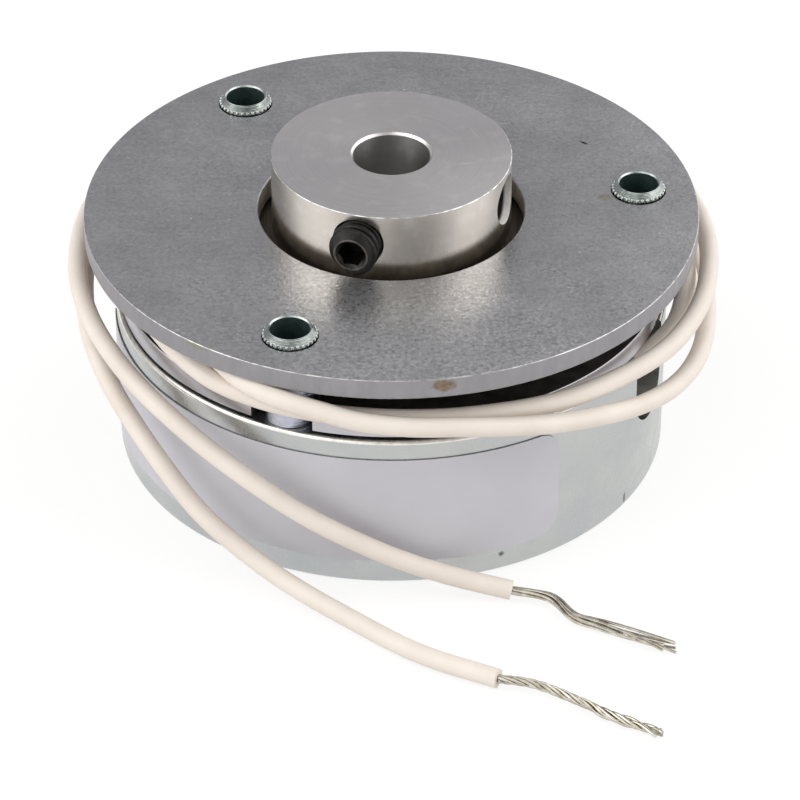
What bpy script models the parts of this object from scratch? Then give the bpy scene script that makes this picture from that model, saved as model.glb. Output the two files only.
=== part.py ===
"""Spring-set electromagnetic disc brake, standing on its magnet body with the pressure plate up.

Three coil springs in the magnet body push a steel armature plate against a friction disc and
clamp it under the pressure plate. Current in the coil pulls the armature down over a small air
gap and frees the disc, which drives the hub through a hexagon. Three hollow standoffs hold the
pressure plate above the magnet body. Two leads come out of a slot in the body, go round the
brake under the plate and end on the ground in front of it.

The shaft axis is Z. The origin is on that axis, in the back face that the brake stands on.
Azimuths are in degrees, counter-clockwise from +X seen from above. The front is -Y.
"""

import math

import bmesh
import bpy
from mathutils import Matrix, Vector

MM = 0.001

# Magnet body: a turned steel cup with an inner pole and a ring-shaped slot for the coil.
# Its widths are built up from the bore outwards, and its heights from the back face up.
BODY_HEIGHT = 14.1 * MM
BODY_FLOOR = 4.1 * MM
BODY_BORE_DIAMETER = 9.0 * MM
BODY_EDGE_RADIUS = 0.6 * MM
RIM_CHAMFER = 0.2 * MM
POLE_CHAMFER = 0.3 * MM
COIL_SLOT_WIDTH = 6.5 * MM

# Slot for the leads, milled through the outer wall from the rim down, with a round bottom
LEAD_SLOT_WIDTH = 6.0 * MM
LEAD_SLOT_DEPTH = 7.5 * MM
LEAD_SLOT_AZIMUTH = -21.5

# Brake springs, each in a blind pocket of the inner pole with a wall to the bore and to the coil
SPRING_COUNT = 3
SPRING_FIRST_AZIMUTH = 67.2
SPRING_DIAMETER = 3.8 * MM
SPRING_WIRE = 0.6 * MM
SPRING_POCKET_CLEARANCE = 0.3 * MM
SPRING_POCKET_DEPTH = 8.0 * MM
SPRING_POCKET_WALL = 1.3 * MM
SPRING_END_PITCH = 0.75 * MM
SPRING_ACTIVE_TURNS = 4
SPRING_SEAT_GAP = 0.05 * MM

# Coil: bobbin, copper winding and the tape wrapped round it, with room for the leads outside
BOBBIN_CLEARANCE = 0.1 * MM
BOBBIN_WALL = 0.8 * MM
BOBBIN_TOP_DROP = 0.25 * MM
TAPE_THICKNESS = 0.3 * MM
COIL_GAP = 0.05 * MM
COIL_SIDE_ROOM = 1.0 * MM

# Hollow standoffs: pressed into the rim below, knurled collar pressed into the plate above
STANDOFF_COUNT = 3
STANDOFF_FIRST_AZIMUTH = 7.2
STANDOFF_BORE = 3.2 * MM
STANDOFF_WALL = 0.525 * MM
STANDOFF_NECK_WALL = 0.25 * MM
STANDOFF_NECK_LENGTH = 4.0 * MM
COLLAR_STEP = 0.125 * MM
COLLAR_DEPTH = 1.2 * MM
COLLAR_PROUD = 0.12 * MM
MOUTH_FLARE = 0.05 * MM
LIP_WALL = 0.125 * MM
LIP_HEIGHT = 0.8 * MM
PRESS_CLEARANCE = 0.04 * MM
STANDOFF_TO_COIL_SLOT = 0.85 * MM
STANDOFF_TO_BODY_EDGE = 2.3 * MM

# Stack above the magnet body
AIR_GAP = 0.25 * MM
ARMATURE_THICKNESS = 1.6 * MM
ARMATURE_INSET = 0.3 * MM
ARMATURE_BORE_CLEARANCE = 0.3 * MM
ARMATURE_NOTCH_CLEARANCE = 0.55 * MM
FACE_GAP = 0.05 * MM
DISC_CLEARANCE = 0.75 * MM
CARRIER_THICKNESS = 1.55 * MM
LINING_THICKNESS = 1.1 * MM
LINING_WIDTH = 6.2 * MM
BOND_GAP = 0.02 * MM
PLATE_OVERHANG = 2.4 * MM
PLATE_THICKNESS = 1.8 * MM
PLATE_HOLE_CLEARANCE = 1.1 * MM
PLATE_EDGE_CHAMFER = 0.15 * MM

# Hub: round top with two radial set screws, hexagon below that drives the disc
HUB_DIAMETER = 19.8 * MM
HUB_PROJECTION = 5.18 * MM
HUB_BORE = 6.35 * MM
HUB_HEX_FLATS = 12.0 * MM
HUB_HEX_CLEARANCE = 0.1 * MM
HUB_SHOULDER_GAP = 0.3 * MM
HUB_HEX_TIP_GAP = 0.25 * MM
HUB_CHAMFER = 0.2 * MM
HUB_BORE_CHAMFER = 0.2 * MM

# Set screws: one stands out of the hub's side, the other is sunk in it
SET_SCREW_DIAMETER = 4.17 * MM
SET_SCREW_LENGTH = 4.76 * MM
SET_SCREW_SOCKET_FLATS = 1.98 * MM
SET_SCREW_SOCKET_DEPTH = 2.2 * MM
SET_SCREW_EDGE = 0.3 * MM
SET_SCREW_THREAD_CLEARANCE = 0.05 * MM
FRONT_SCREW_AZIMUTH = -106.0
FRONT_SCREW_PROUD = 2.0 * MM
SIDE_SCREW_AZIMUTH = -17.0
SIDE_SCREW_RECESS = 1.0 * MM

# Rating label on the body's side: bare, with rounded corners
LABEL_HEIGHT = 10.0 * MM
LABEL_TO_RIM = 1.75 * MM
LABEL_THICKNESS = 0.1 * MM
LABEL_CORNER_RADIUS = 2.0 * MM
LABEL_GAP = 0.02 * MM
LABEL_START_AZIMUTH = -180.5
LABEL_END_AZIMUTH = -54.0

# Leads: insulated stranded wire with stripped ends
LEAD_DIAMETER = 1.6 * MM
LEAD_POINT_COUNT = 96
CONDUCTOR_DIAMETER = 0.76 * MM
CONDUCTOR_POINT_COUNT = 8
CONDUCTOR_GAP = 0.3 * MM

# Each lead's route in azimuth, radius and height, from the coil to the end of the insulation
LEAD_A_ROUTE = [
    (-28.5, 17.35, 11.9), (-26.3, 20.0, 12.25), (-22.5, 22.5, 13.0), (-17, 24.25, 14.5),
    (-10, 24.6, 15.9), (0, 24.45, 17.2), (12, 24.35, 17.9), (30, 24.2, 18.1), (52, 24.15, 18.2),
    (75, 24.1, 18.2), (98, 24.1, 18.2), (120, 24.05, 18.2), (138, 24.0, 18.35), (155, 23.9, 18.5),
    (175, 23.5, 18.7), (192, 23.1, 18.8), (205, 23.05, 18.8), (215, 23.2, 18.6), (224, 23.65, 18.15),
    (233, 23.88, 17.5), (241, 23.86, 17.25), (250, 23.86, 17.15), (262, 23.8, 17.0),
    (275, 23.75, 16.8), (287, 23.8, 16.55), (303, 24.3, 16.2),
    (317, 25.0, 16.25), (330, 25.85, 16.35), (343, 26.3, 16.7), (355, 26.4, 17.15), (368, 26.4, 17.6),
    (385, 26.35, 17.85), (405, 26.3, 18.0), (430, 26.2, 17.95), (455, 26.1, 17.9), (480, 26.1, 17.9),
    (505, 26.1, 17.8), (525, 26.1, 17.65), (545, 26.1, 17.3),
    (558, 26.1, 16.5), (570, 26.0, 15.5), (580, 25.8, 14.3), (593, 25.5, 12.2),
    (602.5, 25.3, 10.3), (613, 25.0, 7.8), (622.5, 24.8, 5.7), (631.7, 24.7, 3.7),
    (641, 25.0, 2.0), (651.2, 26.8, 0.87),
]
LEAD_B_ROUTE = [
    (-22, 17.35, 10.8), (-21.3, 20.0, 11.1), (-18.6, 22.4, 11.7), (-13.6, 24.2, 12.7),
    (-5.5, 24.85, 13.8), (4.5, 24.75, 14.8), (18, 24.4, 15.6), (35, 24.25, 16.1), (57, 24.2, 16.35),
    (80, 24.15, 16.45), (103, 24.1, 16.5), (124, 24.05, 16.55), (138, 23.95, 16.65), (150, 22.9, 16.85),
    (162, 21.9, 17.3), (175, 21.3, 18.1), (188, 21.1, 18.75), (200, 21.2, 18.97), (210, 21.4, 19.02),
    (220, 21.85, 19.02), (228, 22.4, 19.03), (235, 23.4, 19.03), (241, 24.5, 19.0), (247, 25.25, 18.97),
    (253, 25.55, 18.75), (258, 25.5, 18.35), (264, 25.45, 17.75), (273, 25.5, 17.3),
    (282, 25.6, 17.0), (292, 25.8, 16.3), (302, 26.05, 15.4),
    (320, 26.3, 13.5), (334, 26.4, 12.3), (347, 26.45, 11.95), (362, 26.4, 12.6),
    (378, 26.3, 13.7), (392, 26.25, 14.7), (410, 26.2, 15.5), (435, 26.15, 15.85), (460, 26.1, 15.95),
    (485, 26.1, 15.95), (505, 26.0, 15.85), (525, 25.8, 15.6), (542, 25.6, 15.0), (556, 25.8, 13.8),
    (568, 26.0, 12.3), (575.6, 26.0, 10.8), (585.2, 26.0, 8.3), (593.5, 26.0, 5.7), (602, 26.0, 3.6),
    (611, 26.4, 1.8), (623.5, 29.0, 0.92), (634, 33.4, 0.87), (643, 37.4, 0.86),
]
# Each stripped end's route along the ground, past the insulation, in x, y and height
CONDUCTOR_A_ROUTE = [(12.9, -25.8, 0.7), (14.8, -28.3, 0.6), (16.9, -29.3, 0.5), (22.2, -32.3, 0.45)]
CONDUCTOR_B_ROUTE = [(11.2, -36.9, 0.7), (15.1, -39.2, 0.6), (17.1, -40.6, 0.5), (20.9, -42.7, 0.45)]

# Facets round a full turn
LARGE_SEGMENTS = 60
MEDIUM_SEGMENTS = 48
SMALL_SEGMENTS = 24
SPRING_SEGMENTS = 8
CUTTER_MARGIN = 1.0 * MM

# Radii worked out from the bore outwards
BORE_RADIUS = BODY_BORE_DIAMETER / 2
SPRING_POCKET_RADIUS = SPRING_DIAMETER / 2 + SPRING_POCKET_CLEARANCE
SPRING_CIRCLE_RADIUS = BORE_RADIUS + SPRING_POCKET_WALL + SPRING_POCKET_RADIUS
POLE_RADIUS = SPRING_CIRCLE_RADIUS + SPRING_POCKET_RADIUS + SPRING_POCKET_WALL
COIL_SLOT_RADIUS = POLE_RADIUS + COIL_SLOT_WIDTH
STANDOFF_RADIUS = STANDOFF_BORE / 2 + STANDOFF_WALL
NECK_RADIUS = STANDOFF_BORE / 2 + STANDOFF_NECK_WALL
COLLAR_RADIUS = STANDOFF_RADIUS + COLLAR_STEP
STANDOFF_CIRCLE_RADIUS = COIL_SLOT_RADIUS + STANDOFF_TO_COIL_SLOT + NECK_RADIUS
BODY_RADIUS = STANDOFF_CIRCLE_RADIUS + STANDOFF_TO_BODY_EDGE
ARMATURE_RADIUS = BODY_RADIUS - ARMATURE_INSET
DISC_RADIUS = STANDOFF_CIRCLE_RADIUS - STANDOFF_RADIUS - DISC_CLEARANCE
PLATE_RADIUS = BODY_RADIUS + PLATE_OVERHANG
HUB_RADIUS = HUB_DIAMETER / 2

# Heights worked out from the back face up
RIM_Z = BODY_HEIGHT
ARMATURE_Z = RIM_Z + AIR_GAP
ARMATURE_TOP_Z = ARMATURE_Z + ARMATURE_THICKNESS
DISC_Z = ARMATURE_TOP_Z + FACE_GAP
CARRIER_Z = DISC_Z + LINING_THICKNESS + BOND_GAP
UPPER_LINING_Z = CARRIER_Z + CARRIER_THICKNESS + BOND_GAP
DISC_TOP_Z = UPPER_LINING_Z + LINING_THICKNESS
PLATE_Z = DISC_TOP_Z + FACE_GAP
PLATE_TOP_Z = PLATE_Z + PLATE_THICKNESS
HUB_SHOULDER_Z = DISC_TOP_Z + HUB_SHOULDER_GAP
HUB_TOP_Z = PLATE_TOP_Z + HUB_PROJECTION
HUB_HEX_Z = ARMATURE_TOP_Z + HUB_HEX_TIP_GAP
SET_SCREW_Z = PLATE_TOP_Z + HUB_PROJECTION / 2

# Azimuth of each set screw and the radius of its outer face
SET_SCREWS = {
    "set_screw_front": (FRONT_SCREW_AZIMUTH, HUB_RADIUS + FRONT_SCREW_PROUD),
    "set_screw_side": (SIDE_SCREW_AZIMUTH, HUB_RADIUS - SIDE_SCREW_RECESS)}


def finish(name, color, roughness, metallic):
    """A plain Principled material."""
    material = bpy.data.materials.new(name)
    material.use_nodes = True
    shader = material.node_tree.nodes["Principled BSDF"]
    shader.inputs["Base Color"].default_value = (*color, 1.0)
    shader.inputs["Roughness"].default_value = roughness
    shader.inputs["Metallic"].default_value = metallic
    return material


def smooth(mesh):
    """Shades round faces smooth and keeps the edges of turned and cut shapes sharp."""
    mesh.shade_smooth()
    mesh.set_sharp_from_angle(angle=math.radians(35))


def add(name, mesh, material, location=(0, 0, 0), parent=None):
    """One named sub-part with its own material."""
    mesh.materials.append(material)
    smooth(mesh)
    part = bpy.data.objects.new(name, mesh)
    part.location = location
    part.parent = parent
    bpy.context.collection.objects.link(part)
    return part


def frame(name, location=(0, 0, 0)):
    """An empty on the shaft axis that carries the sub-parts moving together."""
    empty = bpy.data.objects.new(name, None)
    empty.location = location
    bpy.context.collection.objects.link(empty)
    return empty


def turned_mesh(name, profile, segments):
    """Turns a profile of (radius, height) points round Z; one that ends on the axis is left open there."""
    shape = bmesh.new()
    points = [shape.verts.new((radius, 0, height)) for radius, height in profile]
    on_axis = profile[0][0] == 0 and profile[-1][0] == 0
    pairs = zip(points, points[1:] if on_axis else points[1:] + points[:1])
    edges = [shape.edges.new(pair) for pair in pairs]
    bmesh.ops.spin(shape, geom=points + edges, cent=(0, 0, 0), axis=(0, 0, 1),
                   angle=2 * math.pi, steps=segments, use_merge=True)
    bmesh.ops.remove_doubles(shape, verts=shape.verts, dist=1e-7)
    bmesh.ops.recalc_face_normals(shape, faces=shape.faces)
    mesh = bpy.data.meshes.new(name)
    shape.to_mesh(mesh)
    shape.free()
    return mesh


def ring_mesh(name, inner, outer, low, high, segments, chamfer=0.0):
    """A plain ring between two radii and two heights, its outer edges broken by a chamfer."""
    profile = [(inner, low), (outer - chamfer, low), (outer, low + chamfer),
               (outer, high - chamfer), (outer - chamfer, high), (inner, high)]
    if chamfer == 0:
        profile = [(inner, low), (outer, low), (outer, high), (inner, high)]
    return turned_mesh(name, profile, segments)


def prism_mesh(name, outline, low, high):
    """Extrudes a closed outline of (x, y) points from one height to another."""
    shape = bmesh.new()
    floor = shape.faces.new([shape.verts.new((x, y, low)) for x, y in outline])
    grown = bmesh.ops.extrude_face_region(shape, geom=[floor])
    raised = [item for item in grown["geom"] if isinstance(item, bmesh.types.BMVert)]
    bmesh.ops.translate(shape, verts=raised, vec=(0, 0, high - low))
    bmesh.ops.recalc_face_normals(shape, faces=shape.faces)
    mesh = bpy.data.meshes.new(name)
    shape.to_mesh(mesh)
    shape.free()
    return mesh


def hexagon(flats):
    """The outline of a hexagon of this width across its flats."""
    corner = flats / 2 / math.cos(math.pi / 6)
    return [(corner * math.cos(k * math.pi / 3), corner * math.sin(k * math.pi / 3)) for k in range(6)]


def open_slot(half_width, reach, steps=12):
    """The outline of a slot with a round end about the origin and straight sides out to +Y."""
    arc = [math.pi + math.pi * k / steps for k in range(steps + 1)]
    return [(half_width * math.cos(turn), half_width * math.sin(turn)) for turn in arc] + [
        (half_width, reach), (-half_width, reach)]


def cut(part, mesh, placement, operation="DIFFERENCE"):
    """Cuts a mesh, placed by a matrix in the part's own frame, out of a part, or joins it on."""
    tool = bpy.data.objects.new(f"{part.name}_{mesh.name}", mesh)
    tool.parent = part
    tool.matrix_local = placement
    tool.hide_render = True
    tool.display_type = "WIRE"
    bpy.context.collection.objects.link(tool)
    boolean = part.modifiers.new(mesh.name, "BOOLEAN")
    boolean.operation = operation
    boolean.solver = "EXACT"
    boolean.object = tool


def on_circle(azimuth, radius, height=0.0):
    """The point at an azimuth on a circle round the shaft axis."""
    turn = math.radians(azimuth)
    return Vector((radius * math.cos(turn), radius * math.sin(turn), height))


def standoff_azimuths():
    return [STANDOFF_FIRST_AZIMUTH + 360 * k / STANDOFF_COUNT for k in range(STANDOFF_COUNT)]


def spring_azimuths():
    return [SPRING_FIRST_AZIMUTH + 360 * k / SPRING_COUNT for k in range(SPRING_COUNT)]


def facing(azimuth, place):
    """A frame at a place whose X axis points outwards at the azimuth."""
    return Matrix.Translation(place) @ Matrix.Rotation(math.radians(azimuth), 4, "Z")


def smooth_path(points, count):
    """Points at equal steps along a smooth curve through the given points (centripetal Catmull-Rom)."""
    guide = [2 * points[0] - points[1]] + points + [2 * points[-1] - points[-2]]
    fine = []
    for a, b, c, d in zip(guide, guide[1:], guide[2:], guide[3:]):
        t0 = 0.0
        t1 = t0 + math.sqrt((b - a).length)
        t2 = t1 + math.sqrt((c - b).length)
        t3 = t2 + math.sqrt((d - c).length)
        for k in range(24):
            t = t1 + (t2 - t1) * k / 24
            ab = a.lerp(b, (t - t0) / (t1 - t0))
            bc = b.lerp(c, (t - t1) / (t2 - t1))
            cd = c.lerp(d, (t - t2) / (t3 - t2))
            abc = ab.lerp(bc, (t - t0) / (t2 - t0))
            bcd = bc.lerp(cd, (t - t1) / (t3 - t1))
            fine.append(abc.lerp(bcd, (t - t1) / (t2 - t1)))
    fine.append(points[-1])
    reached = [0.0]
    for here, there in zip(fine, fine[1:]):
        reached.append(reached[-1] + (there - here).length)
    path = []
    index = 0
    for k in range(count):
        wanted = reached[-1] * k / (count - 1)
        while index < len(fine) - 2 and reached[index + 1] < wanted:
            index += 1
        share = (wanted - reached[index]) / (reached[index + 1] - reached[index])
        path.append(fine[index].lerp(fine[index + 1], share))
    return path


def tube(name, path, diameter, material, sides=2):
    """A round wire along a path of points, closed at both ends."""
    curve = bpy.data.curves.new(name, "CURVE")
    curve.dimensions = "3D"
    curve.bevel_depth = diameter / 2
    curve.bevel_resolution = sides
    curve.use_fill_caps = True
    spline = curve.splines.new("POLY")
    spline.points.add(len(path) - 1)
    for point, place in zip(spline.points, path):
        point.co = (*place, 1.0)
    curve.materials.append(material)
    bpy.context.collection.objects.link(bpy.data.objects.new(name, curve))


def magnet_body(material):
    """The steel cup: bore, inner pole, coil slot, outer wall and a rounded back edge."""
    edge_steps = 3
    edge = [(BODY_RADIUS - BODY_EDGE_RADIUS * (1 - math.sin(turn)), BODY_EDGE_RADIUS * (1 - math.cos(turn)))
            for turn in (math.pi / 2 * k / edge_steps for k in range(edge_steps + 1))]
    profile = [(BORE_RADIUS + POLE_CHAMFER, 0)] + edge + [
        (BODY_RADIUS, RIM_Z - RIM_CHAMFER), (BODY_RADIUS - RIM_CHAMFER, RIM_Z),
        (COIL_SLOT_RADIUS, RIM_Z), (COIL_SLOT_RADIUS, BODY_FLOOR), (POLE_RADIUS, BODY_FLOOR),
        (POLE_RADIUS, RIM_Z - POLE_CHAMFER), (POLE_RADIUS - POLE_CHAMFER, RIM_Z),
        (BORE_RADIUS + POLE_CHAMFER, RIM_Z), (BORE_RADIUS, RIM_Z - POLE_CHAMFER),
        (BORE_RADIUS, POLE_CHAMFER)]
    body = add("magnet_body", turned_mesh("magnet_body", profile, LARGE_SEGMENTS), material)

    slot_radius = LEAD_SLOT_WIDTH / 2
    slot_centre_z = RIM_Z - LEAD_SLOT_DEPTH + slot_radius
    slot = prism_mesh("lead_slot", open_slot(slot_radius, RIM_Z - slot_centre_z + CUTTER_MARGIN),
                      COIL_SLOT_RADIUS - CUTTER_MARGIN, BODY_RADIUS + CUTTER_MARGIN)
    upright = Matrix.Rotation(math.radians(90), 4, "Z") @ Matrix.Rotation(math.radians(90), 4, "X")
    cut(body, slot, facing(LEAD_SLOT_AZIMUTH, (0, 0, slot_centre_z)) @ upright)

    floor_z = RIM_Z - SPRING_POCKET_DEPTH
    for number, azimuth in enumerate(spring_azimuths(), 1):
        pocket = turned_mesh(f"spring_pocket_{number}", [
            (0, floor_z), (SPRING_POCKET_RADIUS, floor_z), (SPRING_POCKET_RADIUS, RIM_Z + CUTTER_MARGIN),
            (0, RIM_Z + CUTTER_MARGIN)], SMALL_SEGMENTS)
        cut(body, pocket, Matrix.Translation(on_circle(azimuth, SPRING_CIRCLE_RADIUS)))

    screw_radius = STANDOFF_BORE / 2
    neck_radius = NECK_RADIUS + PRESS_CLEARANCE
    neck_z = RIM_Z - STANDOFF_NECK_LENGTH - PRESS_CLEARANCE
    for number, azimuth in enumerate(standoff_azimuths(), 1):
        hole = turned_mesh(f"standoff_hole_{number}", [
            (0, -CUTTER_MARGIN), (screw_radius, -CUTTER_MARGIN), (screw_radius, neck_z),
            (neck_radius, neck_z), (neck_radius, RIM_Z + CUTTER_MARGIN), (0, RIM_Z + CUTTER_MARGIN)],
            SMALL_SEGMENTS)
        cut(body, hole, Matrix.Translation(on_circle(azimuth, STANDOFF_CIRCLE_RADIUS)))


def coil(plastic, copper, tape):
    """Bobbin with two flanges, the winding between them and the tape round the winding."""
    inner = POLE_RADIUS + BOBBIN_CLEARANCE
    outer = COIL_SLOT_RADIUS - BOBBIN_CLEARANCE
    low = BODY_FLOOR + BOBBIN_CLEARANCE
    high = RIM_Z - BOBBIN_TOP_DROP
    core = inner + BOBBIN_WALL
    add("coil_bobbin", turned_mesh("coil_bobbin", [
        (inner, low), (outer, low), (outer, low + BOBBIN_WALL), (core, low + BOBBIN_WALL),
        (core, high - BOBBIN_WALL), (outer, high - BOBBIN_WALL), (outer, high), (inner, high)],
        MEDIUM_SEGMENTS), plastic)
    winding_low = low + BOBBIN_WALL + COIL_GAP
    winding_high = high - BOBBIN_WALL - COIL_GAP
    tape_outer = COIL_SLOT_RADIUS - COIL_SIDE_ROOM
    tape_inner = tape_outer - TAPE_THICKNESS
    add("coil_winding", ring_mesh("coil_winding", core + COIL_GAP, tape_inner - COIL_GAP,
                                  winding_low, winding_high, MEDIUM_SEGMENTS), copper)
    add("coil_tape", ring_mesh("coil_tape", tape_inner, tape_outer, winding_low, winding_high,
                               MEDIUM_SEGMENTS), tape)


def brake_springs(material):
    """Compression springs with closed end turns, from the pocket floors to the armature."""
    seat = RIM_Z - SPRING_POCKET_DEPTH + SPRING_SEAT_GAP + SPRING_WIRE / 2
    length = ARMATURE_Z - SPRING_SEAT_GAP - SPRING_WIRE / 2 - seat
    active_pitch = (length - 2 * SPRING_END_PITCH) / SPRING_ACTIVE_TURNS
    turns = SPRING_ACTIVE_TURNS + 2
    radius = (SPRING_DIAMETER - SPRING_WIRE) / 2
    for number, azimuth in enumerate(spring_azimuths(), 1):
        centre = on_circle(azimuth, SPRING_CIRCLE_RADIUS)
        path = []
        for step in range(turns * SPRING_SEGMENTS + 1):
            turn = step / SPRING_SEGMENTS
            first = min(turn, 1) * SPRING_END_PITCH
            middle = min(max(turn - 1, 0), SPRING_ACTIVE_TURNS) * active_pitch
            last = max(turn - 1 - SPRING_ACTIVE_TURNS, 0) * SPRING_END_PITCH
            angle = 2 * math.pi * turn
            path.append(centre + Vector((radius * math.cos(angle), radius * math.sin(angle),
                                         seat + first + middle + last)))
        tube(f"brake_spring_{number}", path, SPRING_WIRE, material, sides=1)


def standoffs(material):
    """Hollow spacers: neck in the rim, body, knurled collar in the plate and a flared lip above it."""
    bore = STANDOFF_BORE / 2
    mouth = bore + MOUTH_FLARE
    lip = mouth + LIP_WALL
    neck_z = RIM_Z - STANDOFF_NECK_LENGTH
    foot_z = RIM_Z + PRESS_CLEARANCE
    collar_z = PLATE_TOP_Z - COLLAR_DEPTH + PRESS_CLEARANCE
    lip_z = PLATE_TOP_Z + LIP_HEIGHT
    profile = [
        (bore, neck_z), (NECK_RADIUS, neck_z), (NECK_RADIUS, foot_z), (STANDOFF_RADIUS, foot_z),
        (STANDOFF_RADIUS, collar_z), (COLLAR_RADIUS, collar_z),
        (COLLAR_RADIUS, PLATE_TOP_Z + COLLAR_PROUD),
        ((COLLAR_RADIUS + lip) / 2, PLATE_TOP_Z + (COLLAR_PROUD + LIP_HEIGHT) / 2),
        (lip, lip_z), (mouth, lip_z), (bore, lip_z - 2 * MOUTH_FLARE)]
    for number, azimuth in enumerate(standoff_azimuths(), 1):
        add(f"standoff_{number}", turned_mesh(f"standoff_{number}", profile, SMALL_SEGMENTS), material,
            on_circle(azimuth, STANDOFF_CIRCLE_RADIUS))


def pressure_plate(material):
    """The stamped plate on top, with a seat for each standoff's collar."""
    plate = add("pressure_plate", ring_mesh(
        "pressure_plate", HUB_RADIUS + PLATE_HOLE_CLEARANCE, PLATE_RADIUS, 0, PLATE_THICKNESS,
        LARGE_SEGMENTS, PLATE_EDGE_CHAMFER), material, (0, 0, PLATE_Z))
    body_radius = STANDOFF_RADIUS + PRESS_CLEARANCE
    collar_radius = COLLAR_RADIUS + PRESS_CLEARANCE
    seat_z = PLATE_THICKNESS - COLLAR_DEPTH
    for number, azimuth in enumerate(standoff_azimuths(), 1):
        hole = turned_mesh(f"collar_seat_{number}", [
            (0, -CUTTER_MARGIN), (body_radius, -CUTTER_MARGIN), (body_radius, seat_z),
            (collar_radius, seat_z), (collar_radius, PLATE_THICKNESS + CUTTER_MARGIN),
            (0, PLATE_THICKNESS + CUTTER_MARGIN)], SMALL_SEGMENTS)
        cut(plate, hole, Matrix.Translation(on_circle(azimuth, STANDOFF_CIRCLE_RADIUS)))


def armature_plate(material):
    """The steel disc that the magnet pulls, notched at its rim to slide along the standoffs."""
    armature = add("armature_plate", ring_mesh(
        "armature_plate", BORE_RADIUS + ARMATURE_BORE_CLEARANCE, ARMATURE_RADIUS, 0,
        ARMATURE_THICKNESS, LARGE_SEGMENTS, PLATE_EDGE_CHAMFER), material, (0, 0, ARMATURE_Z))
    notch_radius = STANDOFF_RADIUS + ARMATURE_NOTCH_CLEARANCE
    reach = ARMATURE_RADIUS - STANDOFF_CIRCLE_RADIUS + CUTTER_MARGIN
    outwards = Matrix.Rotation(math.radians(-90), 4, "Z")
    for number, azimuth in enumerate(standoff_azimuths(), 1):
        notch = prism_mesh(f"notch_{number}", open_slot(notch_radius, reach), -CUTTER_MARGIN,
                           ARMATURE_THICKNESS + CUTTER_MARGIN)
        cut(armature, notch, facing(azimuth, on_circle(azimuth, STANDOFF_CIRCLE_RADIUS)) @ outwards)


def friction_disc(metal, lining):
    """The driven disc: a carrier with a hexagonal hole and a friction ring bonded to each face."""
    rotor = frame("friction_disc_axis", (0, 0, DISC_Z))
    carrier = add("disc_carrier", ring_mesh(
        "disc_carrier", HUB_HEX_FLATS / 2, DISC_RADIUS, CARRIER_Z - DISC_Z,
        CARRIER_Z - DISC_Z + CARRIER_THICKNESS, LARGE_SEGMENTS), metal, parent=rotor)
    drive = prism_mesh("hex_hole", hexagon(HUB_HEX_FLATS + 2 * HUB_HEX_CLEARANCE),
                       0, DISC_TOP_Z - DISC_Z)
    cut(carrier, drive, Matrix.Identity(4))
    for name, height in (("friction_lining_lower", DISC_Z), ("friction_lining_upper", UPPER_LINING_Z)):
        add(name, ring_mesh(name, DISC_RADIUS - LINING_WIDTH, DISC_RADIUS, height - DISC_Z,
                            height - DISC_Z + LINING_THICKNESS, LARGE_SEGMENTS), lining, parent=rotor)


def hub(material, rotor):
    """The aluminium hub: round top, hexagon below, bore and two tapped radial holes."""
    solid = turned_mesh("hub", [
        (0, HUB_SHOULDER_Z), (HUB_RADIUS - HUB_CHAMFER, HUB_SHOULDER_Z),
        (HUB_RADIUS, HUB_SHOULDER_Z + HUB_CHAMFER), (HUB_RADIUS, HUB_TOP_Z - HUB_CHAMFER),
        (HUB_RADIUS - HUB_CHAMFER, HUB_TOP_Z), (0, HUB_TOP_Z)], LARGE_SEGMENTS)
    body = add("hub", solid, material, parent=rotor)
    cut(body, prism_mesh("drive_hexagon", hexagon(HUB_HEX_FLATS), HUB_HEX_Z,
                         HUB_SHOULDER_Z + CUTTER_MARGIN), Matrix.Identity(4), "UNION")
    bore = HUB_BORE / 2
    mouth = bore + HUB_BORE_CHAMFER
    cut(body, turned_mesh("shaft_bore", [
        (0, HUB_HEX_Z - CUTTER_MARGIN), (mouth, HUB_HEX_Z - CUTTER_MARGIN), (mouth, HUB_HEX_Z),
        (bore, HUB_HEX_Z + HUB_BORE_CHAMFER), (bore, HUB_TOP_Z - HUB_BORE_CHAMFER), (mouth, HUB_TOP_Z),
        (mouth, HUB_TOP_Z + CUTTER_MARGIN), (0, HUB_TOP_Z + CUTTER_MARGIN)], MEDIUM_SEGMENTS),
        Matrix.Identity(4))
    tapped = SET_SCREW_DIAMETER / 2 + SET_SCREW_THREAD_CLEARANCE
    end = HUB_RADIUS + CUTTER_MARGIN
    outwards = Matrix.Rotation(math.radians(90), 4, "Y")
    for name, (azimuth, _) in SET_SCREWS.items():
        hole = turned_mesh(f"{name}_hole", [(0, 0), (tapped, 0), (tapped, end), (0, end)],
                           SMALL_SEGMENTS)
        cut(body, hole, facing(azimuth, (0, 0, SET_SCREW_Z)) @ outwards)


def set_screws(material, rotor):
    """Cup-point screws with a hexagon socket; each lies along its own Z axis, pointing outwards."""
    radius = SET_SCREW_DIAMETER / 2
    cup = SET_SCREW_SOCKET_FLATS / 2
    profile = [
        (0, -SET_SCREW_LENGTH + cup / 2), (cup, -SET_SCREW_LENGTH),
        (radius - SET_SCREW_EDGE, -SET_SCREW_LENGTH),
        (radius, -SET_SCREW_LENGTH + SET_SCREW_EDGE), (radius, -SET_SCREW_EDGE),
        (radius - SET_SCREW_EDGE, 0), (0, 0)]
    for name, (azimuth, face_radius) in SET_SCREWS.items():
        screw = add(name, turned_mesh(name, profile, SMALL_SEGMENTS), material, parent=rotor)
        place = on_circle(azimuth, face_radius, SET_SCREW_Z)
        screw.matrix_local = facing(azimuth, place) @ Matrix.Rotation(math.radians(90), 4, "Y")
        socket = prism_mesh("socket", hexagon(SET_SCREW_SOCKET_FLATS), -SET_SCREW_SOCKET_DEPTH,
                            CUTTER_MARGIN)
        cut(screw, socket, Matrix.Identity(4))


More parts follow.
